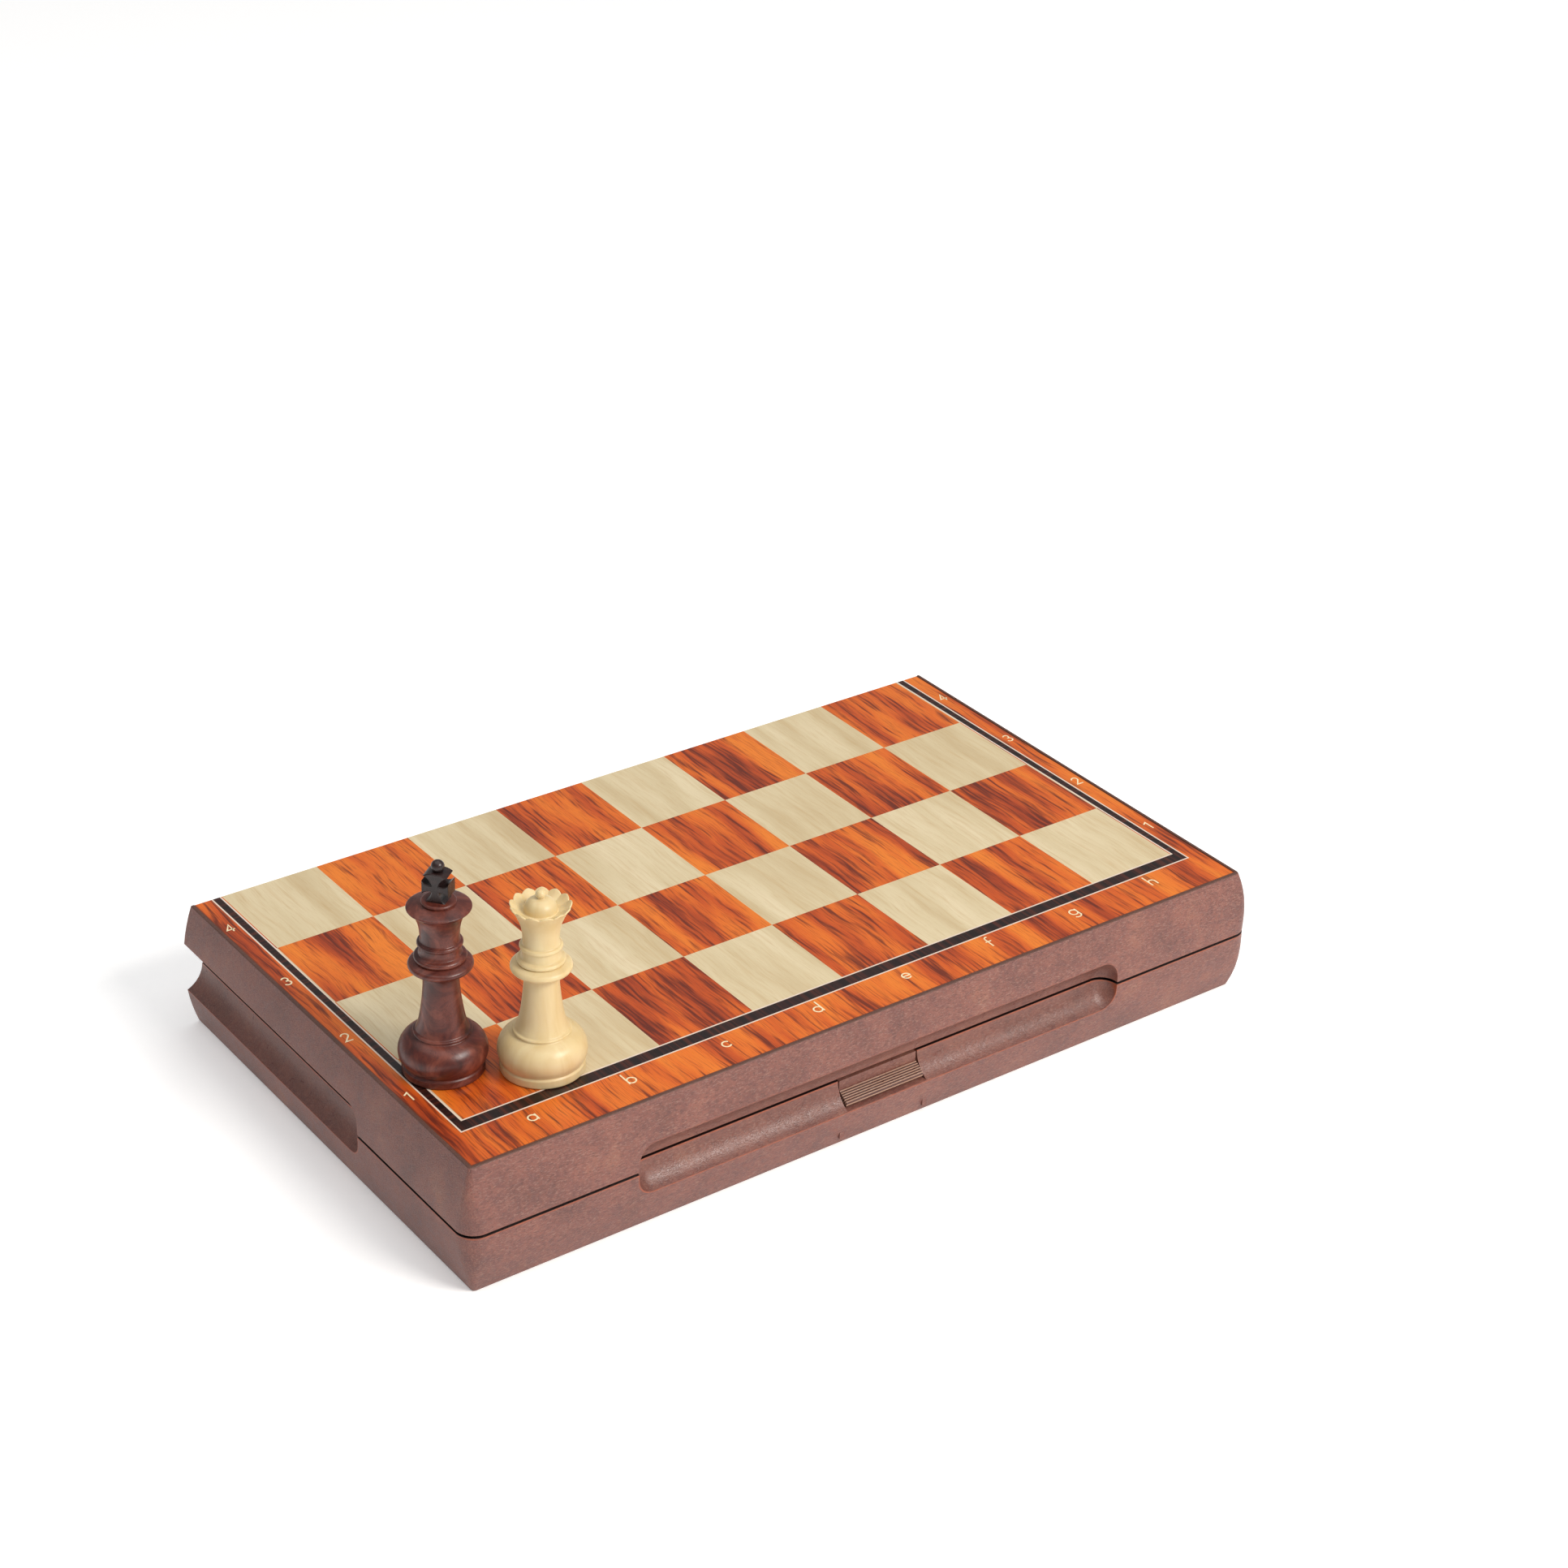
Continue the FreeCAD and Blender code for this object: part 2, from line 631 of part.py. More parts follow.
# Outlines as shares of a man's height: (radius, height) for a line, (radius, height, bow) for an arc.
BASE_KING = [
    (0.1745, 0.006), (0.1745, 0.038), (0.166, 0.0455), (0.1215, 0.184, 0.28), (0.119, 0.188),
    (0.114, 0.203, 0.45),
]
OUTLINES = {
    "king": BASE_KING + [
        (0.0758, 0.442, -0.04), (0.105, 0.497, -0.2), (0.103, 0.5365, 0.62), (0.094, 0.5425),
        (0.092, 0.5655, 0.46), (0.086, 0.570), (0.083, 0.603, -0.12), (0.0835, 0.632, 0.33),
        (0.1333, 0.775, -0.06), (0.1333, 0.7865), (0.071, 0.800), (0.062, 0.818, 0.4), (0.030, 0.818),
        (0.030, 0.790), (0.0, 0.790),
    ],
    "queen": [
        (0.2113, 0.008), (0.2113, 0.045), (0.200, 0.053), (0.147, 0.214, 0.25), (0.143, 0.219),
        (0.133, 0.234, 0.45), (0.0876, 0.4972, -0.05), (0.115, 0.560, -0.2), (0.113, 0.6075, 0.62),
        (0.101, 0.612), (0.099, 0.638, 0.46), (0.093, 0.643), (0.0915, 0.683, -0.1),
        (0.0895, 0.7135, 0.33), (0.1492, 0.905, -0.05), (0.145, 0.913), (0.118, 0.893), (0.080, 0.893),
        (0.0155, 0.952, 0.28), (0.0, 1.0, 0.364),
    ],
    "bishop": [
        (0.236, 0.008), (0.236, 0.050), (0.222, 0.060), (0.163, 0.225, 0.27), (0.158, 0.232),
        (0.147, 0.248, 0.45), (0.098, 0.520, -0.06), (0.125, 0.585, -0.2), (0.122, 0.628, 0.55),
        (0.112, 0.634), (0.108, 0.656, 0.46), (0.080, 0.672), (0.078, 0.700), (0.024, 0.938, 0.25),
        (0.0, 1.0, 0.343),
    ],
    "knight": [
        (0.270, 0.009), (0.270, 0.058), (0.254, 0.068), (0.190, 0.250, 0.30), (0.184, 0.258),
        (0.172, 0.276, 0.45), (0.172, 0.300), (0.0, 0.300),
    ],
    "rook": [
        (0.310, 0.010), (0.310, 0.065), (0.293, 0.078), (0.215, 0.290, 0.30), (0.208, 0.300),
        (0.195, 0.320, 0.45), (0.150, 0.600, -0.05), (0.190, 0.665, -0.2), (0.188, 0.700, 0.46),
        (0.178, 0.705), (0.178, 0.760), (0.215, 0.800, -0.2), (0.228, 0.830), (0.228, 1.0),
        (0.165, 1.0), (0.165, 0.900), (0.0, 0.900),
    ],
    "pawn": [
        (0.314, 0.011), (0.314, 0.075), (0.296, 0.089), (0.205, 0.300, 0.30), (0.198, 0.310),
        (0.184, 0.332, 0.45), (0.120, 0.560, -0.06), (0.150, 0.600, -0.2), (0.150, 0.640, 0.46),
        (0.110, 0.655), (0.095, 0.660), (0.0, 1.0, 0.38),
    ],
}
RIM_EASE = 0.006                                      # small bevel under the foot, as a share of the height
HORSE_HEAD = [
    (-0.130, 0.285), (0.140, 0.285), (0.150, 0.520, 0.10), (0.105, 0.810, 0.14), (0.030, 0.925, 0.08),
    (-0.005, 1.0), (-0.045, 0.915), (-0.185, 0.715, 0.06), (-0.205, 0.655, 0.20), (-0.165, 0.605, 0.20),
    (-0.100, 0.640), (-0.035, 0.655, -0.15), (-0.090, 0.480, -0.15),
]
HORSE_THICKNESS = 0.25
CROSS_PLATE = [
    (-0.034, 0.818), (0.034, 0.818), (0.018, 0.866, -0.12), (0.058, 0.848, -0.12), (0.058, 0.922),
    (0.018, 0.904, -0.12), (0.034, 0.950, -0.12), (-0.034, 0.950), (-0.018, 0.904, -0.12),
    (-0.058, 0.922, -0.12), (-0.058, 0.848), (-0.018, 0.866, -0.12),
]
CROSS_STEM = [
    (0.030, 0.790), (0.030, 0.818), (0.048, 0.818), (0.048, 0.828), (0.022, 0.836), (0.018, 0.945),
    (0.018, 0.9525), (0.0, 1.0, 0.35),
]


def widest(outline):
    """Largest radius that an outline reaches, on its corners and along its arcs."""
    reach = max(point[0] for point in outline)
    for first, last in zip(outline, outline[1:]):
        if len(last) == 3 and last[2] > 0:
            bow = last[2]
            run = last[0] - first[0]
            rise = last[1] - first[1]
            radius = math.hypot(run, rise) * (bow * bow + 0.25) / (bow * 2)
            back = (bow * bow - 0.25) / (bow * 2)
            reach = max(reach, (first[0] + last[0]) / 2 + rise * back + radius)
    return reach


def scaled(outline, tall):
    """An outline of shares as sizes."""
    return [(tall * point[0], tall * point[1], *point[2:]) for point in outline]


def plane_of(body, role):
    return next(feature for feature in body.Origin.OriginFeatures if feature.Role == role)


def body_sketch(body, name, role, corners):
    sketch = body.newObject("Sketcher::SketchObject", name)
    sketch.AttachmentSupport = [(plane_of(body, role), "")]
    sketch.MapMode = "FlatFace"
    draw_outline(sketch, corners)
    return sketch


def spun(body, name, corners):
    """Turn an outline of (radius, height) about the body's upright axis."""
    sketch = body_sketch(body, name + "_outline", "XZ_Plane", corners)
    feature = body.newObject("PartDesign::Revolution", name)
    feature.Profile = sketch
    feature.ReferenceAxis = (sketch, ["V_Axis"])
    feature.Angle = 360
    body.Tip = feature
    return feature


def padded(body, name, corners, thickness):
    """Pad an outline on the body's XZ plane, half to each side."""
    feature = body.newObject("PartDesign::Pad", name)
    feature.Profile = body_sketch(body, name + "_outline", "XZ_Plane", corners)
    feature.SideType = "Symmetric"
    bind(feature, Length=thickness)
    body.Tip = feature
    return feature


def slotted(body, name, corners, count):
    """Cut an outline right through along Y, repeated round the upright axis over half a turn."""
    pocket = body.newObject("PartDesign::Pocket", name)
    pocket.Profile = body_sketch(body, name + "_outline", "XZ_Plane", corners)
    pocket.Type = "ThroughAll"
    pocket.SideType = "Symmetric"
    body.Tip = pocket
    if count > 1:
        repeated(body, name, pocket, count, 180.0 * (count - 1) / count)


def notched(body, name, corners, start, count):
    """Cut an outline outwards from a distance off the axis, repeated all round."""
    sketch = body_sketch(body, name + "_outline", "XZ_Plane", corners)
    sketch.setExpression("AttachmentOffset.Base.z", start.text)
    pocket = body.newObject("PartDesign::Pocket", name)
    pocket.Profile = sketch
    pocket.Type = "ThroughAll"
    pocket.Reversed = True
    body.Tip = pocket
    repeated(body, name, pocket, count, 360.0)


def repeated(body, name, feature, count, angle):
    pattern = body.newObject("PartDesign::PolarPattern", name + "_pattern")
    pattern.Originals = [feature]
    pattern.Axis = (plane_of(body, "Z_Axis"), [""])
    pattern.Angle = angle
    pattern.Occurrences = count
    body.Tip = pattern


def rim_radius(kind):
    return cell(f"{kind}_height") * OUTLINES[kind][0][0]


def felt_radius(kind):
    return rim_radius(kind) - cell("felt_margin")


def man(kind, name):
    """One chessman standing at the origin, hollowed underneath for its magnet and felt."""
    tall = cell(f"{kind}_height")
    body = doc.addObject("PartDesign::Body", name)
    magnet_top = cell("felt_thickness") + cell("magnet_height")
    foot = [
        (ZERO, magnet_top),
        (cell("magnet_radius"), magnet_top),
        (cell("magnet_radius"), cell("felt_thickness")),
        (felt_radius(kind), cell("felt_thickness")),
        (felt_radius(kind), ZERO),
        (rim_radius(kind) - tall * RIM_EASE, ZERO),
    ]
    spun(body, name + "_turning", foot + scaled(OUTLINES[kind], tall))
    if kind == "knight":
        padded(body, name + "_head", scaled(HORSE_HEAD, tall), tall * HORSE_THICKNESS)
    if kind == "rook":
        gap = [(-0.035, 0.905), (0.035, 0.905), (0.035, 1.1), (-0.035, 1.1)]
        slotted(body, name + "_battlement", scaled(gap, tall), 3)
    if kind == "bishop":
        slit = [(0.010, 0.810), (0.200, 0.900), (0.200, 0.930), (0.010, 0.840)]
        slotted(body, name + "_slit", scaled(slit, tall), 1)
    if kind == "queen":
        scallop = [(0.0, 0.893), (0.020, 0.925), (-0.020, 0.925)]
        notched(body, name + "_scallop", scaled(scallop, tall), tall * 0.1, 13)
    return body


def cross(name):
    """The king's finial: a peg, a small foot, a flared cross and a ball."""
    tall = cell("king_height")
    body = doc.addObject("PartDesign::Body", name)
    spun(body, name + "_stem", [(ZERO, tall * 0.790)] + scaled(CROSS_STEM, tall))
    padded(body, name + "_plate", scaled(CROSS_PLATE, tall), tall * 0.083)
    return body


def disc(name, radius, thickness, lift):
    return rod(name, radius, thickness, (ZERO, ZERO, lift), "Z")


def magnet(name):
    return disc(name, cell("magnet_radius"), cell("magnet_height"), cell("felt_thickness"))


def felt(kind, name):
    return disc(name, felt_radius(kind), cell("felt_thickness"), ZERO)


def laid(solid, rotation, place, lift=ZERO):
    """Lay a piece that stands at the origin: turn it, and move its foot to a place."""
    solid.Placement = FreeCAD.Placement(FreeCAD.Vector(), rotation)
    up = rotation.multVec(FreeCAD.Vector(0, 0, 1))
    return moved(solid, [place[axis] + lift * round(up[axis]) for axis in range(3)])


# ---------------------------------------------------------------- trays and what lies in them

TRAY_HALF = BULGE_HALF_WIDTH - BOSS_DEPTH - cell("tray_clearance")
TRAY_FRONT = FRONT + BOSS_DEPTH + cell("tray_clearance")
TRAY_BACK = HINGE - HINGE_BOSS - cell("tray_clearance")
TRAY_UNDER = FLOOR + 0.1
TRAY_TOP = RIM_TOP - cell("tray_top_gap")
POCKET_FLOOR = TRAY_UNDER + cell("tray_floor")


def pocket_radius(kind):
    return cell(f"{kind}_height") * widest(OUTLINES[kind]) + cell("men_clearance")


def pocket_length(kind):
    return cell(f"{kind}_height") + cell("men_clearance") * 2


# The bed in the other half lies just above the widest man.
WIDEST_POCKET = max((pocket_radius(kind) for kind in OUTLINES), key=lambda size: size.value)
BED_TOP = cell("case_thickness") - POCKET_FLOOR - WIDEST_POCKET * 2


def pocket_places():
    """Where each man of one colour lies: (kind, number, foot, direction) in the left half of a tray."""
    web = cell("tray_web")
    places = []
    back = TRAY_BACK - web
    pairs = ["bishop", "knight", "rook"]
    for row, kinds in enumerate((["king", "queen"], pairs, pairs)):
        tallest = max((pocket_radius(kind) for kind in kinds), key=lambda size: size.value)
        middle = back - tallest
        left = web - TRAY_HALF
        for kind in kinds:
            places.append((kind, row, (left, middle, POCKET_FLOOR + pocket_radius(kind)), "X"))
            left = left + pocket_length(kind) + web
        back = back - tallest * 2 - web
    for row in range(2):
        for column in range(4):
            middle = web - TRAY_HALF + pocket_radius("pawn") + (pocket_radius("pawn") * 2 + web) * column
            foot = (middle, back - pocket_length("pawn"), POCKET_FLOOR + pocket_radius("pawn"))
            places.append(("pawn", row * 4 + column, foot, "Y"))
        back = back - pocket_length("pawn") - web
    return places


def tray(prefix):
    """Formed tray in the lower position: pockets on the left, a low bed for the other colour's men."""
    split = cell("tray_web") / 2
    block = box(prefix + "_block", (-TRAY_HALF, TRAY_FRONT, TRAY_UNDER), (-split, TRAY_BACK, TRAY_TOP))
    bed = box(prefix + "_bed", (-split - 1.0, TRAY_FRONT, TRAY_UNDER), (TRAY_HALF, TRAY_BACK, BED_TOP))
    room = LATCH_PIN_LENGTH / 2 + cell("latch_room_side")
    back = STEM_BACK + cell("latch_room_back")
    tools = [box(prefix + "_latch_room", (-room, FRONT, ZERO), (room, back, MID))]
    for kind, number, foot, direction in pocket_places():
        radius = pocket_radius(kind)
        length = pocket_length(kind)
        name = f"{prefix}_{kind}_{number}"
        tools.append(rod(name + "_trough", radius, length, foot, direction))
        if direction == "X":
            low = (foot[0], foot[1] - radius, foot[2])
            high = (foot[0] + length, foot[1] + radius, MID)
        else:
            low = (foot[0] - radius, foot[1], foot[2])
            high = (foot[0] + radius, foot[1] + length, MID)
        tools.append(box(name + "_mouth", low, high))
    return cut(prefix + "_solid", joined(prefix + "_blank", [block, bed]), tools)


LYING_TURN = {
    "X": FreeCAD.Rotation(FreeCAD.Vector(0, 1, 0), 90),
    "Y": FreeCAD.Rotation(FreeCAD.Vector(1, 0, 0), -90),
}
MAN_NAMES = {
    "bishop": ["bishop_1", "bishop_2"],
    "knight": ["knight_1", "knight_2"],
    "rook": ["rook_1", "rook_2"],
}


def lie_down(solid, foot, direction, is_upper, lift=ZERO):
    """Put a piece into its pocket, turned over with the tray in the upper half."""
    rotation = LYING_TURN[direction]
    slack = cell("men_clearance")
    foot = (foot[0] + slack, foot[1], foot[2]) if direction == "X" else (foot[0], foot[1] + slack, foot[2])
    if is_upper:
        rotation = UPPER_TURN.multiply(rotation)
        foot = (-foot[0], foot[1], MID * 2 - foot[2])
    return laid(solid, rotation, foot, lift)


def stored_men(colour, away, is_upper):
    """All men of one colour but the one that stands on the board."""
    magnets = []
    felts = []
    for kind, number, foot, direction in pocket_places():
        if kind == away:
            continue
        name = f"{colour}_{kind}"
        if kind in MAN_NAMES:
            name = f"{name}_{number}"
        if kind == "pawn":
            name = f"{name}_{number + 1}"
        keep(lie_down(man(kind, name + "_body"), foot, direction, is_upper), name)
        if kind == "king":
            keep(lie_down(cross(name + "_cross_body"), foot, direction, is_upper), name + "_cross")
        magnets.append(lie_down(magnet(name + "_magnet"), foot, direction, is_upper, cell("felt_thickness")))
        felts.append(lie_down(felt(kind, name + "_felt"), foot, direction, is_upper))
    for label, discs in ((f"{colour}_stored_magnets", magnets), (f"{colour}_stored_felts", felts)):
        group = doc.addObject("Part::Compound", label + "_group")
        group.Links = discs
        keep(group, label)


# ---------------------------------------------------------------- men on the board

BOARD_CORNER = (-(cell("cell_width") * 4), FRONT_TOP + cell("front_border"))
BOARD_TOP = cell("case_thickness") - cell("panel_recess")
CROSS_FACING = FreeCAD.Rotation(FreeCAD.Vector(0, 0, 1), -52)


def standing_man(colour, kind, rotation):
    """A man on the board with its magnet and felt."""
    name = f"{colour}_{kind}"
    place = (BOARD_CORNER[0] + cell(f"{kind}_file_offset"),
             BOARD_CORNER[1] + cell(f"{kind}_rank_offset"),
             BOARD_TOP)
    keep(laid(man(kind, name + "_standing"), rotation, place), name)
    if kind == "king":
        keep(laid(cross(name + "_standing_cross"), rotation, place), name + "_cross")
    keep(laid(magnet(name + "_standing_magnet"), rotation, place, cell("felt_thickness")), name + "_magnet")
    keep(laid(felt(kind, name + "_standing_felt"), rotation, place), name + "_felt")


# ---------------------------------------------------------------- the whole set

keep(case_half("lower", True), "lower_case")
keep(turned_over(case_half("upper", False)), "upper_case")
for half, is_upper in (("lower", False), ("upper", True)):
    keep(board_panel(half + "_panel", is_upper), half + "_board_panel")
    keep(steel_sheet(half + "_steel", is_upper), half + "_steel_sheet")
for side, middle in HINGE_PLACES.items():
    hinge_rod = rod(f"{side}_hinge_rod", cell("pin_radius"), STATION_HALF * 2,
                    (middle - STATION_HALF, HINGE, MID))
    keep(hinge_rod, f"hinge_pin_{side}")
keep(latch(), "latch")
latch_rod = rod("latch_rod", cell("pin_radius"), LATCH_PIN_LENGTH, (-(LATCH_PIN_LENGTH / 2), *LATCH_PIVOT))
keep(latch_rod, "latch_pin")
keep(latch_spring(), "latch_spring")
keep(tray("lower_tray"), "lower_tray")
keep(turned_over(tray("upper_tray")), "upper_tray")
standing_man("dark", "king", CROSS_FACING)
standing_man("cream", "queen", FreeCAD.Rotation())
stored_men("dark", "king", False)
stored_men("cream", "queen", True)
doc.recompute()

failed = [thing.Name for thing in doc.Objects if {"Invalid", "Error"} & set(thing.State)]
for label, solid in nodes.items():
    if solid.Shape.isNull() or not solid.Shape.isValid() or not solid.Shape.Solids:
        failed.append(label)
if failed:
    raise SystemExit("these objects failed: " + ", ".join(failed))

os.makedirs("parts", exist_ok=True)
for label, solid in nodes.items():
    solid.Shape.exportStep(f"parts/{label}.step")
print(f"{len(nodes)} nodes written")
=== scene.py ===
import json
import math

import bmesh
import bpy
from mathutils import Matrix, Vector


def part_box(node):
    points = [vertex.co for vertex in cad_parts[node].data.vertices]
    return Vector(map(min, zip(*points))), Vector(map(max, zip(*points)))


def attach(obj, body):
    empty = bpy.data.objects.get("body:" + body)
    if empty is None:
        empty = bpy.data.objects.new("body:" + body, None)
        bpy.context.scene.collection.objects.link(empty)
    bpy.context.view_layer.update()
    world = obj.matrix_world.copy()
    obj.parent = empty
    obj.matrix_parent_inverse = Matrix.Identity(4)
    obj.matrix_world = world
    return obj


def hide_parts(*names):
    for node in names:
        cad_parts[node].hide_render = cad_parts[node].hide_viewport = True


# Folding magnetic chess set, closed, with its dark king and cream queen standing on the upper board.
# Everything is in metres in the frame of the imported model; helper sizes are written in millimetres.

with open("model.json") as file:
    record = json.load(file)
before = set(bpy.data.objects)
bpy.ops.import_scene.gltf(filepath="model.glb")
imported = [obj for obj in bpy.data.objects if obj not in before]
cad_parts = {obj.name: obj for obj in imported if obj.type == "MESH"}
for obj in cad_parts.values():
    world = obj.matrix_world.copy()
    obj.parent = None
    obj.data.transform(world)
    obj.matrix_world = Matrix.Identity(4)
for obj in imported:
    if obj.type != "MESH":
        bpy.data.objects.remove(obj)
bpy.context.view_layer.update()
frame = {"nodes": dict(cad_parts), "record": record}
nodes = frame["nodes"]
bpy.context.scene.view_settings.view_transform = "Standard"

MM = 0.001
CELL_WIDTH = 35.0
CELL_DEPTH = 38.1
SIDE_BORDER = 11.2
FRONT_BORDER = 22.4
UPPER_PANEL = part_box("upper_board_panel")
LOWER_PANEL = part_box("lower_board_panel")
CASE_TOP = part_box("upper_case")[1].z / MM
BOARD_TOP = UPPER_PANEL[1].z / MM
BOARD_UNDER = LOWER_PANEL[0].z / MM
PANEL_EDGE = (LOWER_PANEL[1].x / MM, LOWER_PANEL[0].y / MM)
CORNER_X = -4 * CELL_WIDTH
FRONT_TOP = PANEL_EDGE[1] - (CELL_WIDTH * 4 + SIDE_BORDER - PANEL_EDGE[0])
CORNER_Y = FRONT_TOP + FRONT_BORDER
MIDDLE = CASE_TOP / 2
CASE_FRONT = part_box("lower_case")[0].y / MM
CASE_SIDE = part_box("lower_case")[1].x / MM
CHANNEL_HALF_LENGTH = 95.0
CHANNEL_HALF_HEIGHT = 9.1
CHANNEL_CORNER = 6.0
SIDE_CHANNEL_START = 64.0
CHANNEL_ZONE = 9.0                      # how far in from its face a channel's finish goes
FAR = 40.0                              # out of any channel's reach
TRAY_TOP_GAP = 0.3
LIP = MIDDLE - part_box("lower_tray")[1].z / MM - TRAY_TOP_GAP    # half the gap between the two halves
LATCH_REACH = 4.1
LATCH_DROP = 2.6
LATCH_RIBS = 6
LATCH_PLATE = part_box("latch")[0].y / MM + LATCH_REACH
LATCH_SLOPE_TOP = MIDDLE - LIP - 3.8
VENEER_LENGTH = 900.0                   # the squares' veneer is cut from anywhere along this
RIM = 0.5                               # width of the bare edge round a board panel


# ---------------------------------------------------------------- materials

def linear(hex_code):
    """An sRGB hex colour as linear RGBA."""
    channels = [int(hex_code[i:i + 2], 16) / 255 for i in (0, 2, 4)]
    return [c / 12.92 if c <= 0.04045 else ((c + 0.055) / 1.055) ** 2.4 for c in channels] + [1.0]


class Finish:
    """A procedural material: its node tree, and Object coordinates in millimetres."""

    def __init__(self, name, source="Object"):
        self.material = bpy.data.materials.new(name)
        self.material.use_nodes = True
        self.tree = self.material.node_tree
        self.tree.nodes.clear()
        if source == "Object":
            place = self.add("TexCoord", out="Object")
        else:
            place = self.add("Attribute", out="Vector", attribute_name=source)
        self.place = self.add("VectorMath", {0: place, "Scale": 1 / MM}, operation="SCALE")

    def add(self, kind, inputs=None, out=0, stops=(), **settings):
        """Add a shader node with its settings and inputs; an input is a value or the socket that feeds it."""
        node = self.tree.nodes.new("ShaderNode" + kind)
        for name, value in settings.items():
            setattr(node, name, value)
        if stops:
            ramp = node.color_ramp
            while len(ramp.elements) < len(stops):
                ramp.elements.new(0.5)
            for element, (position, colour) in zip(ramp.elements, stops):
                element.position = position
                element.color = linear(colour)
        for name, value in (inputs or {}).items():
            socket = node.inputs[name]
            if isinstance(value, bpy.types.NodeSocket):
                self.tree.links.new(value, socket)
            elif isinstance(value, str):
                socket.default_value = linear(value)
            else:
                socket.default_value = value
        return node if out is None else node.outputs[out]

    def marked(self, base, colour, value, first, full, most=1.0):
        """Lay a colour over base as value goes from first to full, up to that share."""
        share = self.add("MapRange", {"Value": value, "From Min": first, "From Max": full, "To Max": most})
        return self.add("Mix", {0: share, 6: base, 7: colour}, out=2, data_type="RGBA")

    def surface(self, inputs, bumps=(), rough=None):
        """Close the material with a Principled shader. Bumps are (height, depth in mm), each over the
        last; rough is a noise with the least and the most roughness that it gives."""
        if rough:
            noise, least, most = rough
            inputs["Roughness"] = self.add("MapRange", {"Value": noise, "From Min": 0.3, "From Max": 0.7,
                                                        "To Min": least, "To Max": most})
        normal = None
        for height, depth in bumps:
            feed = {"Height": height, "Distance": depth * MM, "Strength": 1.0}
            if normal:
                feed["Normal"] = normal
            normal = self.add("Bump", feed)
        if normal:
            inputs["Normal"] = normal
        shader = self.add("BsdfPrincipled", inputs)
        self.add("OutputMaterial", {"Surface": shader}, out=None)
        return self.material


